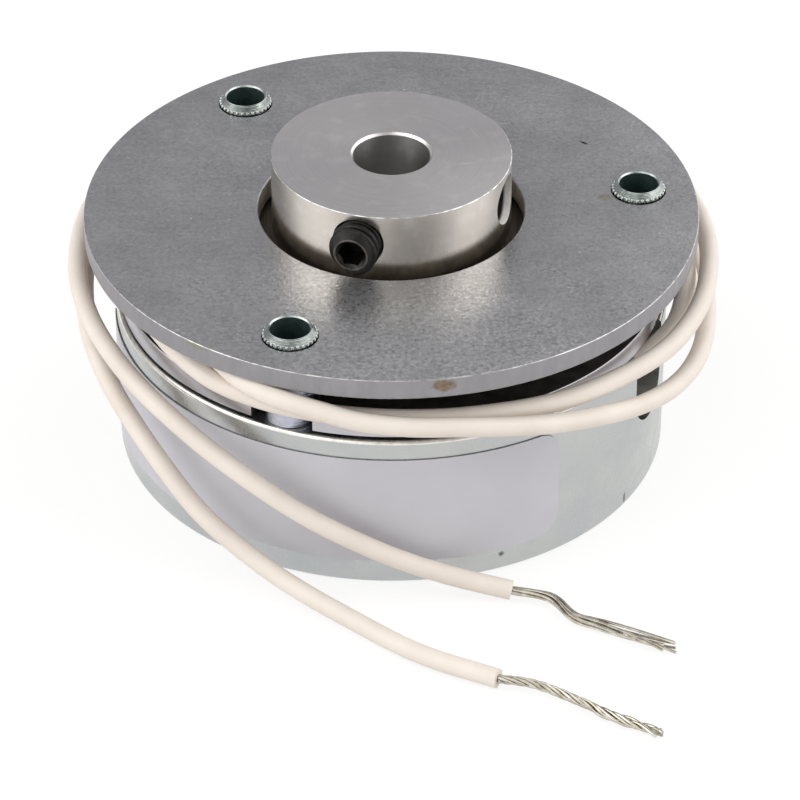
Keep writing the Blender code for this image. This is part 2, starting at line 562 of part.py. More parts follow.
def rating_label(material):
    """A bare label with rounded corners, bent round the body's side."""
    inner = BODY_RADIUS + LABEL_GAP
    bottom = RIM_Z - LABEL_TO_RIM - LABEL_HEIGHT
    width = math.radians(LABEL_END_AZIMUTH - LABEL_START_AZIMUTH) * inner
    corner_steps = 5
    plain_steps = 42
    corner = [LABEL_CORNER_RADIUS * (1 - math.cos(math.pi / 2 * k / corner_steps))
              for k in range(corner_steps)]
    plain = [LABEL_CORNER_RADIUS + (width - 2 * LABEL_CORNER_RADIUS) * k / plain_steps
             for k in range(plain_steps + 1)]
    columns = corner + plain + [width - across for across in reversed(corner)]
    shape = bmesh.new()
    rings = []
    for across in columns:
        inset = max(LABEL_CORNER_RADIUS - across, LABEL_CORNER_RADIUS - (width - across), 0)
        drop = LABEL_CORNER_RADIUS - math.sqrt(LABEL_CORNER_RADIUS ** 2 - inset ** 2)
        turn = math.radians(LABEL_START_AZIMUTH) + across / inner
        ring = []
        for radius, height in ((inner, drop), (inner + LABEL_THICKNESS, drop),
                               (inner + LABEL_THICKNESS, LABEL_HEIGHT - drop), (inner, LABEL_HEIGHT - drop)):
            ring.append(shape.verts.new((radius * math.cos(turn), radius * math.sin(turn),
                                         bottom + height)))
        rings.append(ring)
    for ring, following in zip(rings, rings[1:]):
        for k in range(4):
            shape.faces.new((ring[k], ring[k - 1], following[k - 1], following[k]))
    shape.faces.new(rings[0])
    shape.faces.new(reversed(rings[-1]))
    bmesh.ops.recalc_face_normals(shape, faces=shape.faces)
    mesh = bpy.data.meshes.new("rating_label")
    shape.to_mesh(mesh)
    shape.free()
    add("rating_label", mesh, material)


def leads(insulation, tinned):
    """Both leads from the coil to their stripped ends."""
    routes = {"a": (LEAD_A_ROUTE, CONDUCTOR_A_ROUTE), "b": (LEAD_B_ROUTE, CONDUCTOR_B_ROUTE)}
    for letter, (route, bare) in routes.items():
        points = [on_circle(azimuth, radius * MM, height * MM) for azimuth, radius, height in route]
        path = smooth_path(points, LEAD_POINT_COUNT)
        tube(f"lead_{letter}", path, LEAD_DIAMETER, insulation)
        end = path[-1] + (path[-1] - path[-2]).normalized() * CONDUCTOR_GAP
        strands = [end] + [Vector(place) * MM for place in bare]
        tube(f"conductor_{letter}", smooth_path(strands, CONDUCTOR_POINT_COUNT), CONDUCTOR_DIAMETER,
             tinned)


def build():
    for stale in list(bpy.data.objects):
        bpy.data.objects.remove(stale)

    zinc = finish("zinc_plated_steel", (0.56, 0.57, 0.58), 0.35, 1.0)
    aluminium = finish("turned_aluminium", (0.72, 0.71, 0.69), 0.3, 1.0)
    black_oxide = finish("black_oxide_steel", (0.02, 0.02, 0.02), 0.4, 0.8)
    spring_steel = finish("spring_steel", (0.35, 0.34, 0.33), 0.3, 1.0)
    lining = finish("friction_lining", (0.03, 0.03, 0.03), 0.9, 0.0)
    nylon = finish("natural_nylon", (0.75, 0.73, 0.66), 0.5, 0.0)
    copper = finish("enamelled_copper", (0.6, 0.25, 0.1), 0.35, 1.0)
    tape = finish("black_coil_tape", (0.03, 0.04, 0.035), 0.5, 0.0)
    paper = finish("label_film", (0.5, 0.5, 0.54), 0.45, 0.0)
    insulation = finish("cream_insulation", (0.83, 0.76, 0.68), 0.4, 0.0)
    tinned = finish("tinned_copper", (0.7, 0.68, 0.64), 0.3, 1.0)

    magnet_body(zinc)
    coil(nylon, copper, tape)
    brake_springs(spring_steel)
    standoffs(zinc)
    pressure_plate(zinc)
    armature_plate(zinc)
    friction_disc(aluminium, lining)
    rotor = frame("hub_axis")
    hub(aluminium, rotor)
    set_screws(black_oxide, rotor)
    rating_label(paper)
    leads(insulation, tinned)


build()
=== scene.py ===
"""The finish of a spring-set electromagnetic brake, piece by piece in the order of assembly.

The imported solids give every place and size. Sizes here are in millimetres unless they say
otherwise. The shaft axis is Z, and the brake stands on the back face of its magnet body.
"""

import math

import bmesh
import bpy
from mathutils import Matrix, Vector


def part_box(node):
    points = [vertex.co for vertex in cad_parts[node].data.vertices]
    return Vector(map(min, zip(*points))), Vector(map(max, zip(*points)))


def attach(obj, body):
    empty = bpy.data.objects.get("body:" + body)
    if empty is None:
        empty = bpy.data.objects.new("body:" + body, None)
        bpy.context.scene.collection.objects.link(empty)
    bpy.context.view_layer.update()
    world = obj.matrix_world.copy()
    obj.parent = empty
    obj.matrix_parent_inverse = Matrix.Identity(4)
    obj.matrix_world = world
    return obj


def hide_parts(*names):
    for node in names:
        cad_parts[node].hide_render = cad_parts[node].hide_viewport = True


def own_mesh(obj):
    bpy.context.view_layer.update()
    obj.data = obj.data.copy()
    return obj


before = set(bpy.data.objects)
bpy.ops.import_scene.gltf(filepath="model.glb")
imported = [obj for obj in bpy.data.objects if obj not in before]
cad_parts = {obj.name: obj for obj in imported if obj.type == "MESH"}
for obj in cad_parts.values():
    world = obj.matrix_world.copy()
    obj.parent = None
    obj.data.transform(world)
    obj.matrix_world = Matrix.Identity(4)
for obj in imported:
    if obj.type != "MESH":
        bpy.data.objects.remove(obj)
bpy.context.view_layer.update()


# Magnet body
# A turned steel cup with an inner pole, zinc plated all over. It is cut from bar on a lathe, which
# leaves fine rings on every face, and its lead slot and holes are milled and drilled afterwards.

MM = 0.001
ROUND = 192

BODY_BACK_EDGE = 0.6
BODY_RIM_EDGE = 0.32
BODY_BORE = 9.0
BODY_POLE = 23.0
BODY_COIL_SLOT = 36.0
BODY_FLOOR = 4.1
LEAD_SLOT_AZIMUTH = -21.5
LEAD_SLOT_WIDTH = 6.0
LEAD_SLOT_DEPTH = 7.5
STANDOFF_AZIMUTHS = (7.2, 127.2, 247.2)
STANDOFF_CIRCLE = 41.4
STANDOFF_BORE = 3.2
STANDOFF_NECK = 3.7
STANDOFF_NECK_LENGTH = 4.0
PRESS_CLEARANCE = 0.04
SPRING_AZIMUTHS = (67.2, 187.2, 307.2)
SPRING_CIRCLE = 16.0
SPRING_POCKET = 4.4
SPRING_POCKET_DEPTH = 8.0
CUT_PAST = 1.0


def extent(node):
    """A solid's reach to +Y, its lowest and its highest height, all in millimetres."""
    low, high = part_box(node)
    return high.y / MM, low.z / MM, high.z / MM


def linear(hex_colour):
    """An sRGB hex colour as linear red, green, blue and alpha."""
    channels = [int(hex_colour[k:k + 2], 16) / 255 for k in (1, 3, 5)]
    return [c / 12.92 if c <= 0.04045 else ((c + 0.055) / 1.055) ** 2.4 for c in channels] + [1.0]


def fill(tree, node, inputs):
    """Fills or links a node's inputs by name or number, from values, hex colours or other nodes.
    A node stands for its first output."""
    for name, value in inputs.items():
        if isinstance(value, bpy.types.Node):
            value = value.outputs[0]
        if isinstance(value, bpy.types.NodeSocket):
            tree.links.new(value, node.inputs[name])
        else:
            node.inputs[name].default_value = linear(value) if isinstance(value, str) else value


def add_node(tree, kind, inputs=None, **settings):
    """Adds a node with its settings and its inputs."""
    node = tree.nodes.new(kind)
    for name, value in settings.items():
        setattr(node, name, value)
    fill(tree, node, inputs or {})
    return node


def surface(name, metallic, roughness):
    """A new material, its tree, its shader and the place on the object in millimetres."""
    material = bpy.data.materials.new(name)
    material.use_nodes = True
    tree = material.node_tree
    shader = tree.nodes["Principled BSDF"]
    fill(tree, shader, {"Metallic": metallic, "Roughness": roughness})
    metres = add_node(tree, "ShaderNodeTexCoord").outputs["Object"]
    place = add_node(tree, "ShaderNodeVectorMath", {0: metres, 3: 1 / MM}, operation="SCALE")
    return material, tree, shader, place


def off_axis(tree, place):
    """A place laid flat, and its distance from the shaft's axis."""
    flat = add_node(tree, "ShaderNodeVectorMath", {0: place, 1: (1, 1, 0)}, operation="MULTIPLY")
    return flat, add_node(tree, "ShaderNodeVectorMath", {0: flat}, operation="LENGTH").outputs["Value"]


def lathe_rings(tree, place, pitch, along=20.0):
    """Rings that a lathe tool leaves, long round the axis. They are drawn coarse enough to show."""
    flat, radius = off_axis(tree, place)
    height = add_node(tree, "ShaderNodeSeparateXYZ", {0: place}).outputs["Z"]
    travel = add_node(tree, "ShaderNodeMath", {0: radius, 1: height}, operation="ADD")
    across = add_node(tree, "ShaderNodeMath", {0: travel, 1: pitch}, operation="DIVIDE")
    around = add_node(tree, "ShaderNodeVectorMath", {0: flat, 3: 1 / along}, operation="SCALE")
    upright = add_node(tree, "ShaderNodeCombineXYZ", {"Z": across})
    lines = add_node(tree, "ShaderNodeVectorMath", {0: around, 1: upright}, operation="ADD")
    return add_node(tree, "ShaderNodeTexNoise", {"Vector": lines, "Scale": 1.0, "Detail": 2.0})


def patchy(tree, place, size, dark, light, detail=3.0):
    """Two colours, or two numbers, that change into each other in soft patches of this size."""
    noise = add_node(tree, "ShaderNodeTexNoise", {
        "Vector": place, "Scale": 1 / size, "Detail": detail, "Roughness": 0.55})
    part = add_node(tree, "ShaderNodeMapRange", {"Value": noise, "From Min": 0.3, "From Max": 0.7})
    if isinstance(dark, str):
        return add_node(tree, "ShaderNodeMix", {0: part, 6: dark, 7: light}, data_type="RGBA").outputs[2]
    return add_node(tree, "ShaderNodeMix", {0: part, 2: dark, 3: light}, data_type="FLOAT")


def painted(tree, colour, mask, mark, strength=1.0):
    """A colour with a mark laid over it where the mask is 1, at some strength."""
    cover = add_node(tree, "ShaderNodeMath", {0: mask, 1: strength}, operation="MULTIPLY")
    return add_node(tree, "ShaderNodeMix", {0: cover, 6: colour, 7: mark}, data_type="RGBA").outputs[2]


def bumped(tree, shader, height, depth, strength=0.5):
    """Raises the surface by a height from 0 to 1, this many millimetres deep."""
    fill(tree, shader, {"Normal": add_node(tree, "ShaderNodeBump", {
        "Height": height, "Strength": strength, "Distance": depth * MM})})


def two_toned(name, metallic, roughness, size, dark, light, detail=3.0):
    """A finish whose colour drifts between two tones in soft patches of this size."""
    material, tree, shader, place = surface(name, metallic, roughness)
    fill(tree, shader, {"Base Color": patchy(tree, place, size, dark, light, detail)})
    return material


def spot(tree, place, centre, half_size, turn=0.0, ragged=0.5, grain=0.25):
    """A ragged spot round a centre: 1 inside it and 0 outside."""
    near = add_node(tree, "ShaderNodeMapping", {
        "Vector": place, "Location": centre, "Rotation": (0, 0, math.radians(turn)), "Scale": half_size},
        vector_type="TEXTURE")
    distance = add_node(tree, "ShaderNodeVectorMath", {0: near}, operation="LENGTH").outputs["Value"]
    rough = patchy(tree, place, grain, -ragged / 2, ragged / 2)
    edge = add_node(tree, "ShaderNodeMath", {0: rough, 1: distance}, operation="ADD")
    return add_node(tree, "ShaderNodeMapRange", {"Value": edge, "From Min": 1.0, "From Max": 0.6})


def at_azimuth(azimuth, radius, height):
    """The point at an azimuth in degrees, a radius and a height."""
    turn = math.radians(azimuth)
    return Vector((radius * math.cos(turn), radius * math.sin(turn), height))


def rounded(corners, steps=5):
    """An outline through (radius, height) corners; a third number is the corner's fillet radius."""
    outline = []
    for k, corner in enumerate(corners):
        here = Vector(corner[:2])
        if len(corner) == 2:
            outline.append(here)
            continue
        back = (Vector(corners[k - 1][:2]) - here).normalized()
        ahead = (Vector(corners[(k + 1) % len(corners)][:2]) - here).normalized()
        half = back.angle(ahead) / 2
        centre = here + (back + ahead).normalized() * corner[2] / math.sin(half)
        first = here + back * corner[2] / math.tan(half) - centre
        last = here + ahead * corner[2] / math.tan(half) - centre
        outline += [centre + first.slerp(last, step / steps) * corner[2] for step in range(steps + 1)]
    return outline


def new_piece(name, mesh):
    """A piece at the origin, with its place in its mesh."""
    piece = bpy.data.objects.new(name, mesh)
    bpy.context.scene.collection.objects.link(piece)
    return piece


def solid_piece(name, shape, place=Matrix.Identity(4)):
    """Turns a finished shape's faces outwards and makes it a piece, moved to its place."""
    bmesh.ops.recalc_face_normals(shape, faces=shape.faces)
    mesh = bpy.data.meshes.new(name)
    shape.to_mesh(mesh)
    shape.free()
    mesh.transform(place)
    return new_piece(name, mesh)


def turned(name, corners, segments=ROUND, place=Matrix.Identity(4)):
    """A body turned from rounded corners in millimetres; one that starts and ends on the axis is solid."""
    outline = rounded(corners)
    shape = bmesh.new()
    points = [shape.verts.new((radius * MM, 0, height * MM)) for radius, height in outline]
    solid = outline[0].x == 0 and outline[-1].x == 0
    following = points[1:] if solid else points[1:] + points[:1]
    edges = [shape.edges.new(pair) for pair in zip(points, following)]
    bmesh.ops.spin(shape, geom=points + edges, cent=(0, 0, 0), axis=(0, 0, 1), angle=2 * math.pi,
                   steps=segments, use_merge=True)
    bmesh.ops.remove_doubles(shape, verts=shape.verts, dist=1e-7)
    return solid_piece(name, shape, place)


def drilled(name, steps, segments, place):
    """The body that a stepped drill cuts: a radius, a start and an end for each step."""
    corners = [(0, steps[0][1])]
    for radius, low, high in steps:
        corners += [(radius, low), (radius, high)]
    return turned(name, [*corners, (0, steps[-1][2])], segments, place)


def extruded(name, outline, low, high, place=Matrix.Identity(4)):
    """A prism on an outline of (x, y) points in millimetres, from one height to another."""
    shape = bmesh.new()
    floor = shape.faces.new([shape.verts.new((x * MM, y * MM, low * MM)) for x, y in outline])
    grown_up = bmesh.ops.extrude_face_region(shape, geom=[floor])["geom"]
    raised = [item for item in grown_up if isinstance(item, bmesh.types.BMVert)]
    bmesh.ops.translate(shape, verts=raised, vec=(0, 0, (high - low) * MM))
    return solid_piece(name, shape, place)


def moved(azimuth, radius=0.0, height=0.0, tilt=(0, "Y")):
    """A frame at a place in millimetres, turned to its azimuth and then tilted about one axis."""
    place = Matrix.Translation(at_azimuth(azimuth, radius, height) * MM)
    facing = Matrix.Rotation(math.radians(azimuth), 4, "Z")
    return place @ facing @ Matrix.Rotation(math.radians(tilt[0]), 4, tilt[1])


def slot_outline(half_width, reach, steps=24):
    """A slot with a round end about the origin and straight sides out to +Y."""
    arc = [math.pi + math.pi * k / steps for k in range(steps + 1)]
    return [(half_width * math.cos(turn), half_width * math.sin(turn)) for turn in arc] + [
        (half_width, reach), (-half_width, reach)]


def carved(piece, cutters, joined=()):
    """Joins bodies onto a piece and cuts others out of it, for good."""
    for tool in [*joined, *cutters]:
        boolean = piece.modifiers.new(tool.name, "BOOLEAN")
        boolean.operation = "UNION" if tool in joined else "DIFFERENCE"
        boolean.object = tool
    result = piece.evaluated_get(bpy.context.evaluated_depsgraph_get())
    mesh = bpy.data.meshes.new_from_object(result)
    piece.modifiers.clear()
    piece.data = mesh
    for tool in [*joined, *cutters]:
        bpy.data.objects.remove(tool)
    return piece


def fitted(piece, body, slot, nodes, *materials):
    """Shades a finished piece, gives it its materials and sets it in place of its solids."""
    piece.data.materials.clear()
    for material in materials:
        piece.data.materials.append(material)
    piece.data.shade_smooth()
    piece.data.set_sharp_from_angle(angle=math.radians(32))
    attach(piece, body)
    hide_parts(*nodes)


def zinc_plated_turned_steel():
    """Bright zinc over turned steel: pale, bluish and yellowish by turns, ringed by the tool."""
    material, tree, shader, place = surface("zinc_plated_turned_steel", 1.0, 0.3)
    rings = lathe_rings(tree, place, 0.16)
    tone = patchy(tree, place, 9.0, "#b6babb", "#c3c4c1")
    tone = painted(tree, tone, patchy(tree, place, 2.0, -1.2, 1.0, 5.0), "#b2b6ba", 0.35)
    tone = painted(tree, tone, rings, "#9a9fa3", 0.12)
    pit = spot(tree, place, at_azimuth(-67.1, body_radius, 1.7), (0.28, 0.28, 0.28), grain=0.1)
    nick = spot(tree, place, at_azimuth(-32.8, body_radius, 1.0), (0.22, 0.22, 0.6), grain=0.1)
    for mark in (pit, nick):
        tone = painted(tree, tone, mark, "#4c4f50", 0.8)
    fill(tree, shader, {"Base Color": tone, "Roughness": patchy(tree, place, 1.6, 0.24, 0.36)})
    bumped(tree, shader, rings, 0.02, 0.35)
    return material


def from_axis(face):
    """How far a face's middle lies from the shaft's axis, in millimetres."""
    return math.hypot(face.center.x, face.center.y) / MM


def rubbed_highlight_edge(piece, slot, radius, height, width):
    """Gives the round edge at a radius and height, in millimetres, the material in this slot: a paler
    rubbed edge that is partly a painted highlight line.
    """
    for face in piece.data.polygons:
        at_edge = from_axis(face) > radius - width and face.center.z > (height - width) * MM
        if at_edge and 0.1 < face.normal.z < 0.98:
            face.material_index = slot


body_radius, _, rim_z = extent("magnet_body")
turned_zinc = zinc_plated_turned_steel()
# Zinc that handling has rubbed: smoother than the faces, and paler, the paleness partly a painted
# highlight line along the rim's edge
rubbed_zinc_and_highlight = two_toned("rubbed_zinc_edge_and_painted_highlight", 1.0, 0.28, 0.7, "#d6d3cc", "#f8f6f1", 5.0)
magnet_body = turned("magnet_body_turned", [
    (BODY_BORE / 2, 0, 0.3), (body_radius, 0, BODY_BACK_EDGE), (body_radius, rim_z, BODY_RIM_EDGE),
    (BODY_COIL_SLOT / 2, rim_z, 0.15), (BODY_COIL_SLOT / 2, BODY_FLOOR, 0.3),
    (BODY_POLE / 2, BODY_FLOOR, 0.3), (BODY_POLE / 2, rim_z, 0.3), (BODY_BORE / 2, rim_z, 0.3)])
slot_centre = rim_z - LEAD_SLOT_DEPTH + LEAD_SLOT_WIDTH / 2
upright = Matrix.Rotation(math.radians(90), 4, "Z") @ Matrix.Rotation(math.radians(90), 4, "X")
cutters = [extruded("lead_slot", slot_outline(LEAD_SLOT_WIDTH / 2, LEAD_SLOT_DEPTH),
                    BODY_COIL_SLOT / 2 - CUT_PAST, body_radius + CUT_PAST,
                    moved(LEAD_SLOT_AZIMUTH, 0, slot_centre) @ upright)]
for azimuth in SPRING_AZIMUTHS:
    cutters.append(drilled("pocket", [
        (SPRING_POCKET / 2, rim_z - SPRING_POCKET_DEPTH, rim_z + CUT_PAST)], 48,
        moved(azimuth, SPRING_CIRCLE / 2)))
neck_z = rim_z - STANDOFF_NECK_LENGTH - PRESS_CLEARANCE
for azimuth in STANDOFF_AZIMUTHS:
    cutters.append(drilled("screw_hole", [
        (STANDOFF_BORE / 2, -CUT_PAST, neck_z),
        (STANDOFF_NECK / 2 + PRESS_CLEARANCE, neck_z, rim_z + CUT_PAST)], 48,
        moved(azimuth, STANDOFF_CIRCLE / 2)))
fitted(carved(magnet_body, cutters), "magnet_assembly", "magnet_body", ["magnet_body"], turned_zinc,
       rubbed_zinc_and_highlight)
# The rim's edge takes the paler zinc: real rubbing plus a painted highlight line
rubbed_highlight_edge(magnet_body, 1, body_radius, rim_z, BODY_RIM_EDGE)


# Coil
# Enamelled copper wire wound on a nylon bobbin and wrapped in dark tape. It drops into the ring
# slot of the magnet body, and a little of its tape and bobbin shows through the lead slot.

COIL_WIRE = 0.32
COIL_TAPE = 0.3
BOBBIN_WALL = 0.8
BOBBIN_CLEARANCE = 0.1


def new_growth(name, inputs):
    """A Geometry Nodes tree with named inputs and one mesh output."""
    tree = bpy.data.node_groups.new(name, "GeometryNodeTree")
    tree.interface.new_socket("Geometry", in_out="INPUT", socket_type="NodeSocketGeometry")
    for label, kind in inputs.items():
        tree.interface.new_socket(label, in_out="INPUT", socket_type="NodeSocket" + kind)
    tree.interface.new_socket("Material", in_out="INPUT", socket_type="NodeSocketMaterial")
    tree.interface.new_socket("Geometry", in_out="OUTPUT", socket_type="NodeSocketGeometry")
    return tree, add_node(tree, "NodeGroupInput").outputs


def end_growth(tree, sizes, geometry):
    """Realizes a tree's instances, gives them their material and sends them out."""
    real = add_node(tree, "GeometryNodeRealizeInstances", {0: geometry})
    coated = add_node(tree, "GeometryNodeSetMaterial", {0: real, "Material": sizes["Material"]})
    add_node(tree, "NodeGroupOutput", {0: coated})


def grown(name, tree, sizes, guide=None):
    """A plain mesh piece grown by a tree from sizes by input name, on a guide mesh if it has one."""
    start = new_piece(name + "_start", guide or bpy.data.meshes.new(name))
    growth = start.modifiers.new("growth", "NODES")
    growth.node_group = tree
    for item in tree.interface.items_tree:
        if item.in_out == "INPUT" and item.name in sizes:
            growth[item.identifier] = sizes[item.name]
    result = start.evaluated_get(bpy.context.evaluated_depsgraph_get())
    mesh = bpy.data.meshes.new_from_object(result)
    bpy.data.objects.remove(start)
    return new_piece(name, mesh)


def swept(tree, line, sides, radius):
    """A solid wire along a line, with this many sides."""
    section = add_node(tree, "GeometryNodeCurvePrimitiveCircle", {"Resolution": sides, "Radius": radius})
    return add_node(tree, "GeometryNodeCurveToMesh", {0: line, 1: section, "Fill Caps": True})


def wire_helix():
    """Round wire wound in a helix about a place, its end turns closed up by a share."""
    tree, sizes = new_growth("wire_helix", {
        "Turns": "Float", "Radius": "Float", "Height": "Float", "Wire": "Float", "Closed Ends": "Float",
        "Points Per Turn": "Int", "Sides": "Int", "Place": "Vector"})
    helix = add_node(tree, "GeometryNodeCurveSpiral", {
        "Resolution": sizes["Points Per Turn"], "Rotations": sizes["Turns"],
        "Start Radius": sizes["Radius"], "End Radius": sizes["Radius"], "Height": sizes["Height"]})
    along = add_node(tree, "GeometryNodeSplineParameter").outputs["Factor"]
    whole = add_node(tree, "ShaderNodeMath", {0: along, 1: 2 * math.pi}, operation="MULTIPLY")
    lowered = add_node(tree, "ShaderNodeMath", {0: whole}, operation="SINE")
    for factor in (sizes["Closed Ends"], sizes["Height"], -1 / (2 * math.pi)):
        lowered = add_node(tree, "ShaderNodeMath", {0: lowered, 1: factor}, operation="MULTIPLY")
    offset = add_node(tree, "ShaderNodeCombineXYZ", {"Z": lowered})
    shut = add_node(tree, "GeometryNodeSetPosition", {0: helix, "Offset": offset})
    half = add_node(tree, "ShaderNodeMath", {0: sizes["Wire"], 1: 0.5}, operation="MULTIPLY")
    wire = swept(tree, shut, sizes["Sides"], half)
    placed = add_node(tree, "GeometryNodeTransform", {0: wire, "Translation": sizes["Place"]})
    end_growth(tree, sizes, placed)
    return tree


def insulating_tape():
    """Polyester coil tape, very dark green, with soft wrinkles from being pulled round."""
    material, tree, shader, place = surface("insulating_tape", 0.0, 0.35)
    fill(tree, shader, {"Base Color": patchy(tree, place, 2.0, "#1a2623", "#2a3833")})
    bumped(tree, shader, patchy(tree, place, 0.8, 0.0, 1.0), 0.1)
    return material


def banded(name, inner, outer, low, high, fillet):
    """A turned ring with rounded outer edges."""
    return turned(name, [(inner, low), (outer, low, fillet), (outer, high, fillet), (inner, high)], 144)


flange, low, high = extent("coil_bobbin")
inner = BODY_POLE / 2 + BOBBIN_CLEARANCE
core = inner + BOBBIN_WALL
bobbin = turned("coil_bobbin_moulded", [
    (inner, low), (flange, low, 0.1), (flange, low + BOBBIN_WALL, 0.1), (core, low + BOBBIN_WALL, 0.15),
    (core, high - BOBBIN_WALL, 0.15), (flange, high - BOBBIN_WALL, 0.1), (flange, high, 0.1),
    (inner, high)], 144)
# Natural nylon, injection moulded: milky and slightly glossy
moulded_nylon = two_toned("moulded_nylon", 0.0, 0.45, 3.0, "#d8d3c4", "#e4e0d4")
fitted(bobbin, "magnet_assembly", "coil_bobbin", ["coil_bobbin"], moulded_nylon)

outer, low, high = extent("coil_winding")
helix_tree = wire_helix()
# Copper under clear enamel: orange brown and glossy, varying turn by turn
enamelled_copper = two_toned("enamelled_copper", 1.0, 0.3, 0.6, "#a8562c", "#c57a48")
wound = high - low - COIL_WIRE
winding = grown("coil_winding_wire", helix_tree, {
    "Turns": wound / COIL_WIRE, "Radius": (outer - COIL_WIRE / 2) * MM, "Height": wound * MM,
    "Wire": COIL_WIRE * MM, "Closed Ends": 0.0, "Points Per Turn": 96, "Sides": 8,
    "Place": (0, 0, (low + COIL_WIRE / 2) * MM), "Material": enamelled_copper})
fitted(winding, "magnet_assembly", "coil_winding", ["coil_winding"], enamelled_copper)

outer, low, high = extent("coil_tape")
tape = banded("coil_tape_wrap", outer - COIL_TAPE, outer, low, high, 0.08)
fitted(tape, "magnet_assembly", "coil_tape", ["coil_tape"], insulating_tape())


# Brake springs
# Three compression springs of drawn steel wire with closed ends, dropped into the pockets of the
# inner pole. They push the armature up and are squeezed by 0.2 mm more when the coil pulls it down.

SPRING_TURNS = 6
SPRING_WIRE = 0.6
SPRING_CLOSED_ENDS = 0.45

# Hard drawn steel wire with a film of oil: darker than plating
drawn_wire = two_toned("drawn_spring_wire", 1.0, 0.28, 0.5, "#77746f", "#98958f")
for number, azimuth in enumerate(SPRING_AZIMUTHS, 1):
    node = f"brake_spring_{number}"
    spring_low, spring_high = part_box(node)
    seat = at_azimuth(azimuth, SPRING_CIRCLE / 2 * MM, spring_low.z + SPRING_WIRE / 2 * MM)
    spring = grown(f"{node}_wire", helix_tree, {
        "Turns": float(SPRING_TURNS), "Radius": (spring_high.x - spring_low.x - SPRING_WIRE * MM) / 2,
        "Height": spring_high.z - spring_low.z - SPRING_WIRE * MM, "Wire": SPRING_WIRE * MM,
        "Closed Ends": SPRING_CLOSED_ENDS, "Points Per Turn": 32, "Sides": 14, "Place": seat,
        "Material": drawn_wire})
    fitted(spring, "magnet_assembly", "brake_spring", [node], drawn_wire)
    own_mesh(spring)


# Armature plate
# A flat ground steel disc, plated, with a U notch for each standoff. It lies loose between the
# springs and the friction disc, and only its rim shows in the gap above the magnet body.

ARMATURE_BORE = 9.6
NOTCH_WIDTH = 5.35
NOTCH_REACH = 4.0


def plated_ground_steel():
    """Ground and plated steel: bright and slightly violet, with fine straight grinding lines."""
    material, tree, shader, place = surface("plated_ground_steel", 1.0, 0.28)
    lines = add_node(tree, "ShaderNodeMapping", {"Vector": place, "Scale": (0.1, 8.0, 1.0)})
    fill(tree, shader, {"Base Color": patchy(tree, place, 4.0, "#b3b1b6", "#c6c3c6")})
    bumped(tree, shader, patchy(tree, lines, 1.0, 0.0, 1.0), 0.02, 0.2)
    return material


outer, low, high = extent("armature_plate")
armature = turned("armature_plate_ground", [
    (ARMATURE_BORE / 2, low, 0.15), (outer, low, 0.04), (outer, high, 0.15),
    (ARMATURE_BORE / 2, high, 0.15)])
notches = [extruded("notch", slot_outline(NOTCH_WIDTH / 2, NOTCH_REACH), low - CUT_PAST, high + CUT_PAST,
                    moved(azimuth, STANDOFF_CIRCLE / 2, 0, (-90, "Z"))) for azimuth in STANDOFF_AZIMUTHS]
# The top, which the friction lining rubs: duller than the side, and painted dark as the shade in the
# narrow gap under the plate
shaded_armature_top = two_toned("painted_shade_ground_steel_top", 0.6, 0.5, 1.2, "#2c2826", "#4a4541")
fitted(carved(armature, notches), "armature", "armature_plate", ["armature_plate"],
       plated_ground_steel(), shaded_armature_top)
# Faces that look up take the painted shade of the gap
for face in armature.data.polygons:
    face.material_index = int(face.normal.z > 0.9)


# Friction disc
# A stamped aluminium carrier with a hexagonal hole, and a ring of pressed friction material
# bonded to each face. It slides on the hub's hexagon between the armature and the pressure plate.

HEX_HOLE = 12.2
CARRIER_BLANK_BORE = 8.0
LINING_WIDTH = 6.2


def hexagon(flats):
    """The outline of a hexagon of this width across its flats."""
    corner = flats / 2 / math.cos(math.pi / 6)
    return [(corner * math.cos(k * math.pi / 3), corner * math.sin(k * math.pi / 3)) for k in range(6)]


def stamped_aluminium():
    """Rolled sheet with fine rolling lines all one way, dulled and browned by friction dust."""
    material, tree, shader, place = surface("stamped_aluminium", 0.5, 0.5)
    rolled = add_node(tree, "ShaderNodeMapping", {"Vector": place, "Scale": (6.0, 0.08, 1.0)})
    fill(tree, shader, {"Base Color": patchy(tree, rolled, 1.0, "#5d554c", "#7a7065")})
    return material


def pressed_friction_lining():
    """Resin bonded friction material: nearly black and matt, speckled with brass and fibre."""
    material, tree, shader, place = surface("pressed_friction_lining", 0.0, 0.85)
    flecks = patchy(tree, place, 0.22, -9.0, 2.0)
    tone = painted(tree, patchy(tree, place, 1.5, "#211e1c", "#2c2826"), flecks, "#6e6250")
    fill(tree, shader, {"Base Color": tone, "Specular IOR Level": 0.15})
    bumped(tree, shader, patchy(tree, place, 0.3, 0.0, 1.0), 0.05)
    return material


disc_radius, low, high = extent("disc_carrier")
carrier = banded("disc_carrier_stamped", CARRIER_BLANK_BORE / 2, disc_radius, low, high, 0.1)
drive = extruded("drive", hexagon(HEX_HOLE), low - CUT_PAST, high + CUT_PAST)
fitted(carved(carrier, [drive]), "friction_disc", "disc_carrier", ["disc_carrier"], stamped_aluminium())
lining_material = pressed_friction_lining()
for node in ("friction_lining_lower", "friction_lining_upper"):
    _, low, high = extent(node)
    inner = disc_radius - LINING_WIDTH
    lining = turned(f"{node}_ring", [
        (inner, low, 0.1), (disc_radius, low, 0.1), (disc_radius, high, 0.1), (inner, high, 0.1)], 144)
    fitted(lining, "friction_disc", "friction_lining", [node], lining_material)


# Standoffs
# Hollow spacers turned from steel and plated. The neck is pressed into the rim of the magnet body,
# and the knurled collar is pressed into the plate, where its flared lip stands just above it.

STANDOFF_BODY = 4.25
COLLAR = 4.5
COLLAR_DEPTH = 1.2
COLLAR_PROUD = 0.36
LIP = 3.55
FLARE_RINGS = 4
KNURL_BEADS = 30
KNURL_DEPTH = 0.15
BEAD = 0.16
LIP_THICKNESS = 0.1
LIP_CHAMFER = 0.12
RING_WIDTH = 0.03
RING_HEIGHT = 0.06


